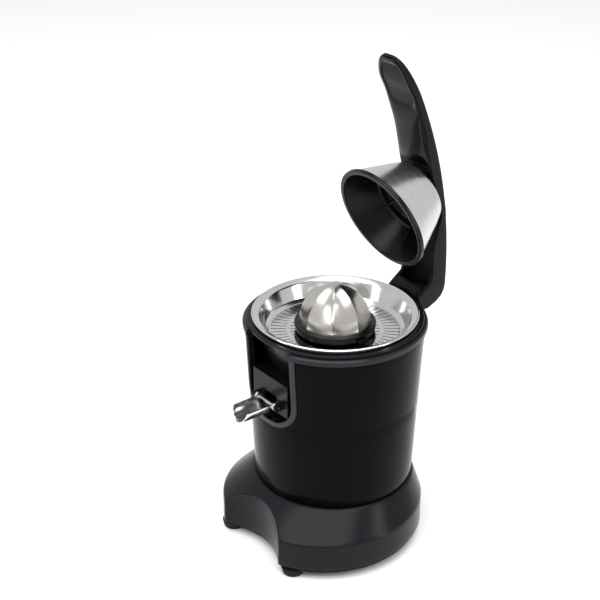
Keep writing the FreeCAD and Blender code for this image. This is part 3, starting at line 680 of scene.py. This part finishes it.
@dataclass
class Lever:
    """Curved press lever, its gloss underside with the finger hollow, and two screws.

    It is drawn pressed down, with y running back to the hinge.
    """

    bench: Bench
    half_width: float = 24.0
    heel: float = 118.4
    heel_round: float = 11.0
    tip: float = -157.5
    tip_run: float = 48.5
    tip_power: float = 2.4
    crest: Point = (-69.0, 312.4)
    crest_radius: float = 450.0
    pitch: float = 4.0
    channel_half: float = 20.0
    panel_inset: float = 2.0
    panel_start: float = -33.0
    panel_end: float = -154.6
    panel_skin: float = 1.6
    hollow_middle: float = -124.0
    hollow_reach: float = 27.0
    hollow_depth: float = 4.2
    swell_middle: float = -66.0
    swell_reach: float = 30.0
    swell_depth: float = 3.0
    lead_lift: float = 0.7
    lead_run: float = 12.0
    screw_seats: tuple[Point, ...] = ((-62.0, 298.0), (-118.0, 303.4))

    def over(self, along: float) -> float:
        """Gives the top face's height: one long arc that turns down round the heel."""
        drop = self.crest_radius - math.sqrt(self.crest_radius ** 2 - (along - self.crest[0]) ** 2)
        past = min(self.heel_round, max(0.0, along - self.heel + self.heel_round))
        return self.crest[1] - drop - self.heel_round + math.sqrt(self.heel_round ** 2 - past ** 2)

    def underline(self) -> list[Point]:
        """Draws the underside: hinge block, cranked neck, flat over the dome, grip."""
        return rounded([(self.heel, 244.0), (115.6, 236.8, 5.5), (99.0, 236.6, 1.5),
                        (94.0, 256.6, 5.0), (86.0, 262.4, 20.0), (58.0, 272.2, 60.0),
                        (28.0, 295.4, 20.0), (-24.0, 296.2, 120.0), (-72.0, 303.0, 120.0),
                        (-112.0, 303.0, 80.0), (-130.0, 299.8, 60.0), (self.tip + 0.5, 300.6)],
                       closed=False, steps=5)

    def under(self, along: float) -> float:
        """Reads the underside's height at one place."""
        line = self.underline()
        for (back, low), (front, high) in zip(line, line[1:]):
            if back > front and back >= along >= front:
                return low + (high - low) * (back - along) / (back - front)
        return line[-1][1]

    def tip_share(self, along: float, inset: float = 0.0) -> float:
        """Tells how far a place is into the rounded end, from 0 to 1."""
        reach = self.tip + self.tip_run - along
        return min(1.0, max(0.0, reach / (self.tip_run - 1.2 * inset)))

    def half(self, along: float, inset: float = 0.0) -> float:
        """Gives half the width: one width, then a full round end."""
        left = 1 - self.tip_share(along, inset) ** self.tip_power
        return (self.half_width - inset) * left ** (1 / self.tip_power)

    def marks(self) -> list[float]:
        """Places the sections: the underside's own points, an even pitch, closer at the tip."""
        wanted = [along for along, _ in self.underline()]
        wanted += [self.heel - self.pitch * count
                   for count in range(1, int((self.heel - self.tip) / self.pitch))]
        wanted += [self.tip + self.tip_run * (1 - math.sin(count * math.pi / 36))
                   for count in range(1, 17)]
        kept = [self.heel]
        for along in sorted(wanted, reverse=True):
            if kept[-1] - along > 0.3:
                kept.append(along)
        return kept

    def arm(self) -> None:
        """Builds the arm from rounded sections, hollow under the dome and at the hinge."""
        rows = []
        for along in self.marks():
            middle = (self.over(along) + self.under(along)) / 2
            deep = self.over(along) - self.under(along)
            deep *= math.sqrt(1 - self.tip_share(along) ** 16)
            under, over, half = middle - deep / 2, middle + deep / 2, self.half(along)
            corner = min(4.0, deep * 0.42, half * 0.4)
            section = rounded([(half, under, corner * 0.35), (half - 0.4, over, corner),
                               (0.4 - half, over, corner), (-half, under, corner * 0.35)],
                              steps=4)
            rows.append([Vector((x, along, z)) for x, z in section])
        verts, faces = grid(rows)
        wide = len(rows[0])
        faces += [tuple(range(wide)), tuple(range(len(verts) - wide, len(verts)))]
        piece = self.bench.shape("lever_arm", (verts, faces), opened=True)
        channel = rounded([(-26, 280), (-26, 303.6), (10, 303.8, 4), (56, 289.8, 6), (112, 263.5, 6),
                           (112, 215), (60, 215), (-10, 280)], steps=3)
        self.bench.carve(piece, prism(channel, self.channel_half), opened=True)
        self.bench.finish(piece, LEVER_MATTE, "lever", ["lever_shell"], sharp=38, opened=True)

    def grip(self) -> None:
        """Builds the gloss panel under the grip: a spoon hollow, a crease, then a swell."""
        start, end = self.panel_start, self.panel_end
        rows = []
        for count in range(61):
            along = start + (end - start) * math.sin(count * math.pi / 120)
            half = self.half(along, self.panel_inset)
            hollow = max(0.0, 1 - ((along - self.hollow_middle) / self.hollow_reach) ** 2)
            swell = max(0.0, 1 - ((along - self.swell_middle) / self.swell_reach) ** 2)
            row = []
            for side in range(33):
                across = math.sin((side / 16 - 1) * math.pi / 2)
                inside = max(0.0, 1 - (across / 0.86) ** 2)
                height = self.under(along) - self.panel_skin + 1.1 * abs(across) ** 8
                height += self.lead_lift * max(0.0, 1 - (start - along) / self.lead_run)
                height += self.hollow_depth * min(1.0, hollow * 1.5) * min(1.0, inside * 1.6)
                height -= self.swell_depth * swell ** 0.8 * max(0.0, 1 - across ** 2) ** 0.5
                row.append(Vector((half * across, along, height)))
            rows.append(row)
        piece = self.bench.shape("grip_panel", grid(rows, round_rows=False), opened=True)
        skin = piece.modifiers.new("skin", "SOLIDIFY")
        skin.thickness = self.panel_skin * METRE
        skin.offset = -1.0
        self.bench.settle(piece)
        self.bench.finish(piece, LEVER_GLOSS, "lever", ["lever_cover"], sharp=60, opened=True)

    def screws(self) -> None:
        """Builds the two cross-head screws in the panel."""
        for number, (along, low) in enumerate(self.screw_seats, start=1):
            head = lathe(rounded([(0, low), (1.9, low, 0.4), (2.7, low + 0.8, 0.4),
                                  (2.7, low + 3.6), (0, low + 3.6)]), 40)
            piece = self.bench.shape(f"grip_screw_{number}", shift(head, 0.0, along), opened=True)
            for half_x, half_y in ((0.35, 1.4), (1.4, 0.35)):
                box = prism(oblong(along - half_y, low - 1, along + half_y, low + 0.9), half_x)
                self.bench.carve(piece, box, opened=True)
            self.bench.finish(piece, SCREW_STEEL, "lever", [f"lever_screw_{number}"])

    def build(self) -> None:
        """Builds the lever."""
        self.arm()
        self.grip()
        self.screws()


@dataclass
class Dome:
    """Press dome: brushed shell, black rim ring and ribbed liner."""

    bench: Bench
    radius: float = 57.5
    low: float = 236.0
    top: float = 292.0

    def turned_steel(self) -> Finish:
        """Gives the brushed finish, centred and tilted on the dome's own axis."""
        middle = self.bench.site.opened() @ Vector((0, 0, self.low))
        centre = self.bench.site.to_frame() @ middle
        # Stainless spun on a lathe and brushed round, so the light fans out from the axis.
        return Finish("round_brushed_stainless", "dome_steel", Surface.TURNED, "#c6c3c5",
                      "#dddadc", 0.3, 0.55, metallic=1.0, relief=0.12,
                      tilt=-self.bench.site.open_angle, centre=tuple(centre))

    def shell(self) -> None:
        """Builds the brushed outer shell."""
        r, low, top = self.radius, self.low, self.top
        side = rounded([(r - 0.6, low + 4), (r - 17, top - 14, 14), (r - 24, top, 9), (8, top),
                        (8, top - 1.5), (r - 25, top - 1.5, 8), (r - 18.4, top - 15, 13),
                        (r - 2.3, low + 4)], steps=10)
        piece = self.bench.shape("dome_outer", lathe(side), opened=True)
        self.bench.finish(piece, self.turned_steel(), "dome", ["dome_shell"], sharp=45)

    def ring(self) -> None:
        """Builds the rim ring."""
        r, low = self.radius, self.low
        side = rounded([(r - 4.4, low, 0.9), (r + 0.7, low, 1.1), (r + 0.7, low + 4.2, 0.6),
                        (r - 4.4, low + 4.2)])
        piece = self.bench.shape("dome_rim", lathe(side), opened=True)
        self.bench.finish(piece, DOME_BLACK, "dome", ["dome_ring"])

    def liner(self) -> None:
        """Builds the inner liner with its pressing ribs and centre boss."""
        r, low, top = self.radius, self.low, self.top
        side = rounded([(r - 4.3, low + 1.0), (r - 2.9, low + 4.2), (r - 19.4, top - 15.6, 12),
                        (r - 27, top - 3.2, 8), (0, top - 3.2), (0, top - 7), (7, top - 7, 1),
                        (9, top - 5.6, 1), (r - 29, top - 5.6, 8), (r - 22.5, top - 17, 10),
                        (r - 20.9, top - 21.6, 0.6), (r - 19.0, top - 22.4, 0.5)], steps=8)
        piece = self.bench.shape("dome_inner", lathe(side), opened=True)
        self.bench.finish(piece, DOME_BLACK, "dome", ["dome_liner"], opened=True)
        spine = rounded([(8, top - 6), (20, top - 6, 4), (r - 23.5, top - 15.4, 5),
                         (r - 14.5, top - 34, 1), (r - 15.6, top - 35, 0.5), (r - 25.0, top - 18.5, 5),
                         (19, top - 9.6, 3), (8, top - 9)])
        rib = prism([(-a, z) for a, z in spine], 0.9)
        ribs = self.bench.shape("dome_ribs", rib, opened=True)
        self.bench.repeat_round(ribs, 6, DOME_BLACK, opened=True)
        self.bench.finish(ribs, DOME_BLACK, "dome", opened=True)

    def build(self) -> None:
        """Builds the dome."""
        self.shell()
        self.ring()
        self.liner()


@dataclass
class Bowl:
    """Satin black juice bowl with its tower and outlet, and the steel drip spout."""

    bench: Bench
    wall: float = 82.0
    foot: float = 67.0
    floor: float = 198.0
    rest: float = 245.3
    flange: float = 91.0
    spout_y: float = -88.5
    spout_z: float = 178.0
    outlet_front: float = -84.0
    outlet_back: float = -53.0
    outlet_low: float = 168.0
    outlet_top: float = 204.0
    outlet_half: float = 28.0
    outlet_wall: float = 2.5

    def body(self) -> None:
        """Builds the bowl with its rolled flange, sloped floor, tower and outlet box."""
        low, foot, wall, rest = self.floor, self.foot, self.wall, self.rest
        side = rounded([(wall, rest), (self.flange, rest, 0.6), (self.flange, rest + 2.5, 1.1),
                        (wall - 2, rest + 2.5, 2.5), (foot - 1.6, low + 2.1, 5), (31.4, low + 2.1, 3),
                        (17.2, 235, 1), (15, 235, 0.5), (28.9, low + 2, 2), (29.6, low),
                        (foot, low, 4)])
        piece = self.bench.shape("bowl_body", lathe(side))
        skin = self.outlet_wall
        box = prism(oblong(self.outlet_front, self.outlet_low, self.outlet_back, self.outlet_top),
                    self.outlet_half)
        shell = self.bench.shape("outlet", box)
        join_cut = piece.modifiers.new("outlet", "BOOLEAN")
        join_cut.object = shell
        join_cut.operation = "UNION"
        join_cut.solver = "EXACT"
        self.bench.settle(piece)
        bpy.data.objects.remove(shell)
        inside = oblong(self.outlet_front + skin, self.outlet_low + skin,
                        self.outlet_back - skin, self.outlet_top - skin)
        self.bench.carve(piece, prism(inside, self.outlet_half - skin))
        self.bench.carve(piece, prism(oblong(-95, 173, -70, 186), 10.0))
        self.bench.finish(piece, BOWL_SATIN, "bowl", ["juice_bowl", "bowl_outlet"], sharp=35)
        for side_name, x in (("right", 17.5), ("left", -17.5)):
            ear = prism(rounded([(-82.5, 174, 0.5), (-92.5, 174, 3.5), (-92.5, 182, 3.5),
                                 (-82.5, 182, 0.5)]), 1.5)
            piece = self.bench.shape(f"spout_ear_{side_name}", shift(ear, x, 0.0))
            self.bench.finish(piece, BOWL_SATIN, "bowl")

    def spout(self) -> None:
        """Builds the half-round drip channel with rolled edges."""
        start, length, radius = -self.spout_y - 3.5, 41.5, 13.0
        arc = [math.pi * step / 24 for step in range(25)]
        outer = [(-radius * math.cos(a), self.spout_z + 2 - radius * math.sin(a)) for a in arc]
        inner = [(-(radius - 1.3) * math.cos(a), self.spout_z + 2 - (radius - 1.3) * math.sin(a))
                 for a in reversed(arc)]
        rows = []
        for step in range(13):
            share = step / 12
            trim = max(0.0, share - 0.75) * 4
            rows.append([Vector((x * (1 - 0.06 * trim ** 2), -start - length * share
                                 + 5 * trim ** 2 * max(0.0, (z - self.spout_z + 11) / 13), z))
                         for x, z in outer + inner])
        verts, faces = grid(rows)
        wide = len(rows[0])
        for base in (0, len(verts) - wide):
            faces += [(base + i, base + i + 1, base + wide - 2 - i, base + wide - 1 - i)
                      for i in range(wide // 2 - 1)]
        ears = []
        for x in (14.2, -14.2):
            disc = [(self.spout_y + 4 * math.cos(a), self.spout_z + 4 * math.sin(a))
                    for a in [math.tau * s / 32 for s in range(32)]]
            ears.append(shift(prism(disc, 1.3), x, 0.0))
        piece = self.bench.shape("spout_channel", join((verts, faces), *ears))
        self.bench.finish(piece, SPOUT_STEEL, "spout", ["drip_spout"], bevel=0.4, sharp=50)

    def build(self) -> None:
        """Builds the bowl and the spout."""
        self.body()
        self.spout()


@dataclass
class Strainer:
    """Polished strainer dish with radial slots, and its black hub."""

    bench: Bench
    radius: float = 86.0
    rim: float = 252.0
    floor: float = 230.0
    steps: int = 672
    # Each ring's inner and outer radius, its slots, and how much of a slot's share is open.
    rings: tuple[tuple[float, float, int, float], ...] = ((28.0, 46.0, 42, 0.19),
                                                          (50.0, 66.5, 56, 0.17))

    def slot_tree(self) -> bpy.types.NodeTree:
        """Builds the tree that opens one ring of radial slots in a sheet."""
        tree = bpy.data.node_groups.new("radial_slots", "GeometryNodeTree")
        face = tree.interface
        face.new_socket("Geometry", in_out="INPUT", socket_type="NodeSocketGeometry")
        for name in ("Inner Radius", "Outer Radius", "Slot Count", "Open Share"):
            face.new_socket(name, in_out="INPUT", socket_type="NodeSocketFloat")
        face.new_socket("Geometry", in_out="OUTPUT", socket_type="NodeSocketGeometry")
        entry = add_node(tree, "NodeGroupInput").outputs
        place = add_node(tree, "GeometryNodeInputPosition").outputs[0]
        parts = add_node(tree, "ShaderNodeSeparateXYZ", {}, {0: place}).outputs
        flat = add_node(tree, "ShaderNodeCombineXYZ", {}, {"X": parts["X"], "Y": parts["Y"]})
        reach = add_node(tree, "ShaderNodeVectorMath", {"operation": "LENGTH"},
                         {0: flat.outputs[0]}).outputs["Value"]
        angle = add_node(tree, "ShaderNodeMath", {"operation": "ARCTAN2"},
                         {0: parts["Y"], 1: parts["X"]}).outputs[0]
        turns = add_node(tree, "ShaderNodeMath", {"operation": "DIVIDE"}, {0: angle, 1: math.tau})
        cells = add_node(tree, "ShaderNodeMath", {"operation": "MULTIPLY"},
                         {0: turns.outputs[0], 1: entry["Slot Count"]})
        part = add_node(tree, "ShaderNodeMath", {"operation": "FLOORED_MODULO"},
                        {0: cells.outputs[0], 1: 1.0})
        tests = [
            add_node(tree, "ShaderNodeMath", {"operation": "LESS_THAN"},
                     {0: part.outputs[0], 1: entry["Open Share"]}),
            add_node(tree, "ShaderNodeMath", {"operation": "GREATER_THAN"},
                     {0: reach, 1: entry["Inner Radius"]}),
            add_node(tree, "ShaderNodeMath", {"operation": "LESS_THAN"},
                     {0: reach, 1: entry["Outer Radius"]})]
        both = add_node(tree, "ShaderNodeMath", {"operation": "MULTIPLY"},
                        {0: tests[0].outputs[0], 1: tests[1].outputs[0]})
        chosen = add_node(tree, "ShaderNodeMath", {"operation": "MULTIPLY"},
                          {0: both.outputs[0], 1: tests[2].outputs[0]})
        opened = add_node(tree, "GeometryNodeDeleteGeometry",
                          {"domain": "FACE", "mode": "ALL"},
                          {"Geometry": entry["Geometry"], "Selection": chosen.outputs[0]})
        real = add_node(tree, "GeometryNodeRealizeInstances", {}, {0: opened.outputs[0]})
        dressed = add_node(tree, "GeometryNodeSetMaterial", {}, {
            "Geometry": real.outputs[0], "Material": POLISHED_STEEL.material()})
        add_node(tree, "NodeGroupOutput", {}, {0: dressed.outputs[0]})
        return tree

    def sheet_profile(self) -> list[Point]:
        """Gives the dish's upper surface from the rim to the hub."""
        rest, r, floor = 248.1, self.radius, self.floor + 1
        path = rounded([(r - 1.2, rest + 0.9), (r - 0.5, self.rim - 0.6, 0.5),
                        (r - 1.6, self.rim, 0.6), (r - 7.6, rest + 1, 2.5), (r - 13.6, floor + 3, 3),
                        (r - 18.0, floor, 2), (66.5, floor)], closed=False)
        for inner, outer, *_ in reversed(self.rings):
            path += [(outer, floor), (inner, floor)]
        path.append((23.2, floor))
        return path

    def dish(self) -> None:
        """Builds the dish as a thin sheet, opens its slots and gives it its thickness."""
        sheet = lathe(self.sheet_profile(), self.steps, closed=False)
        piece = self.bench.shape("strainer_plate", sheet)
        home = self.bench.site.to_frame()
        piece.data.transform(home.inverted())
        tree = self.slot_tree()
        for inner, outer, count, share in self.rings:
            opener = piece.modifiers.new("slots", "NODES")
            opener.node_group = tree
            for name, value in (("Inner Radius", inner), ("Outer Radius", outer),
                                ("Slot Count", float(count)), ("Open Share", share)):
                opener[self.bench.socket(tree, name)] = value
        self.bench.settle(piece)
        piece.data.transform(home)
        skin = piece.modifiers.new("sheet", "SOLIDIFY")
        skin.thickness = 0.9 * METRE
        skin.offset = 0.0
        self.bench.settle(piece)
        self.bench.finish(piece, POLISHED_STEEL, "strainer", ["strainer_dish"], sharp=50)

    def hub(self) -> None:
        """Builds the hub and cuts the drain slots round its foot."""
        floor = self.floor
        side = rounded([(21.2, floor - 1), (23.2, floor - 1, 0.6), (23.2, floor + 4, 1.5),
                        (18.8, floor + 7, 2), (18.3, 256, 0.8), (13.5, 256, 0.6),
                        (13.5, floor + 6.5), (21.2, floor + 4)])
        piece = self.bench.shape("strainer_collar", lathe(side, 96))
        bar = prism(oblong(-0.9, floor + 2, 0.9, floor + 9.5), 30.0)
        for number in range(4):
            turn = Matrix.Rotation(math.pi * (number + 0.5) / 4, 4, "Z")
            self.bench.carve(piece, ([tuple(turn @ Vector(v)) for v in bar[0]], bar[1]))
        self.bench.finish(piece, BOWL_SATIN, "strainer", ["strainer_hub"])

    def build(self) -> None:
        """Builds the strainer."""
        self.dish()
        self.hub()


@dataclass
class Cones:
    """Small ribbed cone and large fluted steel cone on its carrier."""

    bench: Bench
    low: float = 234.0
    small_radius: float = 28.5
    small_top: float = 277.0
    large_low: float = 241.0
    large_radius: float = 37.0
    large_top: float = 282.0

    @staticmethod
    def ogive(radius: float, low: float, high: float, share: float) -> Point:
        """Gives a point of the reaming curve, from its foot at 0 to its tip at 1."""
        angle = share * math.pi / 2
        return (radius * math.cos(angle) ** 0.86, low + (high - low) * math.sin(angle) ** 1.08)

    def small(self) -> None:
        """Builds the small cone: core, flange and tabs, with ribs repeated round it."""
        low, core = self.low, self.small_radius - 4.5
        curve = [self.ogive(core, low + 1.5, self.small_top - 3, s / 16) for s in range(17)]
        inner = [(0.0, 259.5), (8.9, 259.5), (19.6, 259.5), (24.0, low + 7), (24.6, low)]
        side = [(41.0, low), (41.0, low + 3), (39.6, low + 3), (39.6, low + 1.5)] + curve
        tab = prism(rounded([(-6, low, 0.5), (6, low, 0.5), (6, low + 3, 0.8),
                             (-6, low + 3, 0.8)]), 3.0)
        tabs = [shift(tab, across, 0.0) for across in (43.0, -43.0)]
        core_shape = lathe(side + inner, 128)
        piece = self.bench.shape("small_cone_core", join(core_shape, *tabs))
        self.bench.finish(piece, CONE_GLOSS, "small_cone", ["small_cone"])
        outer = [self.ogive(self.small_radius, low + 1.2, self.small_top, s / 20)
                 for s in range(20)]
        spine = [(-r, z) for r, z in outer] + [(-0.2, self.small_top - 0.6), (-0.2, 262.0),
                                               (-20.4, 260.4), (-24.4, low + 1.2)]
        ribs = self.bench.shape("small_cone_ribs", prism(spine, 1.0))
        self.bench.repeat_round(ribs, 10, CONE_GLOSS)
        self.bench.finish(ribs, CONE_GLOSS, "small_cone", sharp=60)

    def large(self) -> None:
        """Builds the large cone with its flutes drawn by a rule round the axis."""
        count, steps, levels = 8, 192, 40
        rows = []
        for level in range(levels + 1):
            share = level / levels
            radius, height = self.ogive(self.large_radius, self.large_low, self.large_top, share)
            row = []
            for step in range(steps):
                angle = math.tau * step / steps
                ridge = 1 - abs(math.sin(angle * count / 2)) ** 0.75
                depth = 4.4 * math.sin(math.pi * min(1.0, 0.12 + share * 0.95)) ** 0.7
                reach = max(0.0, radius - depth * (1 - ridge) * min(1.0, radius / 8))
                row.append(Vector((reach * math.sin(angle), -reach * math.cos(angle), height)))
            rows.append(row)
        piece = self.bench.shape("large_cone_shell", grid(rows))
        skin = piece.modifiers.new("sheet", "SOLIDIFY")
        skin.thickness = 1.0 * METRE
        skin.offset = -1.0
        self.bench.settle(piece)
        self.bench.finish(piece, CONE_STEEL, "large_cone", ["large_cone"], sharp=70)
        side = rounded([(33.5, self.low + 3.3), (42.0, self.low + 3.3, 0.8),
                        (42.0, self.large_low, 1.0), (33.5, self.large_low)])
        ring = self.bench.shape("carrier_ring", lathe(side, 128))
        self.bench.finish(ring, CONE_GLOSS, "large_cone", ["cone_carrier"])

    def build(self) -> None:
        """Builds both cones."""
        self.small()
        self.large()


@dataclass
class FrameNodes:
    """Dresses the frame's own nodes, which keep their shapes."""

    frame: dict[str, Any]
    finishes: dict[str, Finish] = field(default_factory=lambda: {
        "base_plate": PLATE_MATTE, "base_screw_": SCREW_STEEL, "cord_gland": PLATE_MATTE,
        "inner_liner": LINER_GLOSS, "gearbox_": CHASSIS_NYLON, "motor_can": ZINC_STEEL,
        "motor_winding": COPPER, "motor_stand": CHASSIS_NYLON, "rotor_core": ROTOR_STEEL,
        "rotor_shaft": SHAFT_STEEL, "rotor_pinion": SHAFT_STEEL, "intermediate_gear": GEAR_ACETAL,
        "intermediate_axle": SHAFT_STEEL, "output_gear": GEAR_ACETAL, "drive_shaft": SHAFT_STEEL,
        "shaft_spring": SPRING_STEEL, "shaft_collar": CHASSIS_NYLON, "switch_plunger": SWITCH_RED,
        "start_switch": SWITCH_RED, "switch_board": CHASSIS_NYLON, "hinge_bracket": LEVER_MATTE,
        "hinge_pin": SHAFT_STEEL, "hinge_spring_": SPRING_STEEL, "dome_pin": SHAFT_STEEL,
        "dome_hub": DOME_BLACK, "spout_pin": SHAFT_STEEL, "cone_bush": CONE_GLOSS})

    def dress(self) -> None:
        """Gives each kept node the finish that its name starts with."""
        for name, item in self.frame["nodes"].items():
            for start, finish in self.finishes.items():
                if name.startswith(start):
                    item.data.materials.clear()
                    item.data.materials.append(finish.material())
                    log.info("%s: %s", name, finish.name)


@dataclass
class Studio:
    """Pale floor, soft boxes and the camera."""

    bench: Bench
    azimuth: float = 50.0
    elevation: float = 31.8
    distance: float = 1.4085
    lens: float = 79.0
    look_height: float = 0.12
    aim_left: float = 0.038
    aim_up: float = 0.129

    def floor(self) -> None:
        """Lays the floor."""
        bpy.ops.mesh.primitive_plane_add(size=20)
        plane = bpy.context.object
        plane.name = "studio_floor"
        paper = bpy.data.materials.new("white_paper_floor")
        paper.use_nodes = True
        shader = paper.node_tree.nodes["Principled BSDF"]
        shader.inputs["Base Color"].default_value = linear("#f4f4f4")
        shader.inputs["Roughness"].default_value = 0.9
        shader.inputs["Specular IOR Level"].default_value = 0.1
        plane.data.materials.append(paper)

    def soft_box(self, name: str, place: tuple[float, float, float], size: Point,
                 power: float, target: tuple[float, float, float] = (0.0, 0.0, 0.25)) -> None:
        """Hangs one rectangular soft box.

        Args:
            name: Light's name.
            place: Where it hangs, in metres.
            size: Width and height in metres.
            power: Watts.
            target: Point it faces.
        """
        lamp = bpy.data.lights.new(name, "AREA")
        lamp.shape = "RECTANGLE"
        lamp.size, lamp.size_y = size
        lamp.energy = power
        holder = bpy.data.objects.new(name, lamp)
        holder.location = place
        holder.rotation_euler = (Vector(target) - Vector(place)).to_track_quat("-Z", "Y").to_euler()
        holder.visible_camera = False
        bpy.context.scene.collection.objects.link(holder)

    def lights(self) -> None:
        """Sets the overhead, the two upright side boxes and the even fill."""
        self.soft_box("overhead", (0.3, -0.4, 2.2), (2.4, 2.4), 60.0)
        self.soft_box("left_upright", (-0.2, -0.62, 0.30), (0.12, 0.6), 1.2)
        self.soft_box("right_upright", (0.62, 0.28, 0.35), (0.12, 0.7), 1.2)
        world = bpy.data.worlds.new("even_room")
        world.use_nodes = True
        world.node_tree.nodes["Background"].inputs["Color"].default_value = (1, 1, 1, 1)
        world.node_tree.nodes["Background"].inputs["Strength"].default_value = 0.8
        bpy.context.scene.world = world
        bpy.context.scene.view_settings.view_transform = "Standard"

    def camera(self) -> None:
        """Places the camera at its angle, aimed up and left of the drive axis."""
        around, above = math.radians(self.azimuth), math.radians(self.elevation)
        back = Vector((math.sin(around) * math.cos(above), -math.cos(around) * math.cos(above),
                       math.sin(above)))
        target = Vector((0, self.bench.site.axis_y * METRE, self.look_height))
        right = Vector((math.cos(around), math.sin(around), 0))
        aim = target - right * self.aim_left + back.cross(right) * self.aim_up
        lens = bpy.data.cameras.new("camera")
        lens.lens = self.lens
        lens.sensor_width = 36.0
        eye = bpy.data.objects.new("camera", lens)
        eye.location = target + back * self.distance
        eye.rotation_mode = "QUATERNION"
        eye.rotation_quaternion = (aim - eye.location).to_track_quat("-Z", "Y")
        bpy.context.scene.collection.objects.link(eye)
        bpy.context.scene.camera = eye

    def build(self) -> None:
        """Sets the stage."""
        self.floor()
        self.lights()
        self.camera()


def main() -> None:
    """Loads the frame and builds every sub-assembly in order."""
    logging.basicConfig(level=logging.INFO, format="%(message)s")
    bpy.ops.object.select_all(action="SELECT")
    bpy.ops.object.delete()
    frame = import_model()
    bench = Bench(Site.read(frame))
    for assembly in (Base(bench), Canister(bench), Lever(bench), Dome(bench), Bowl(bench),
                     Strainer(bench), Cones(bench)):
        log.info("building %s", type(assembly).__name__)
        assembly.build()
    FrameNodes(frame).dress()
    Studio(bench).build()


if __name__ == "__main__":
    main()
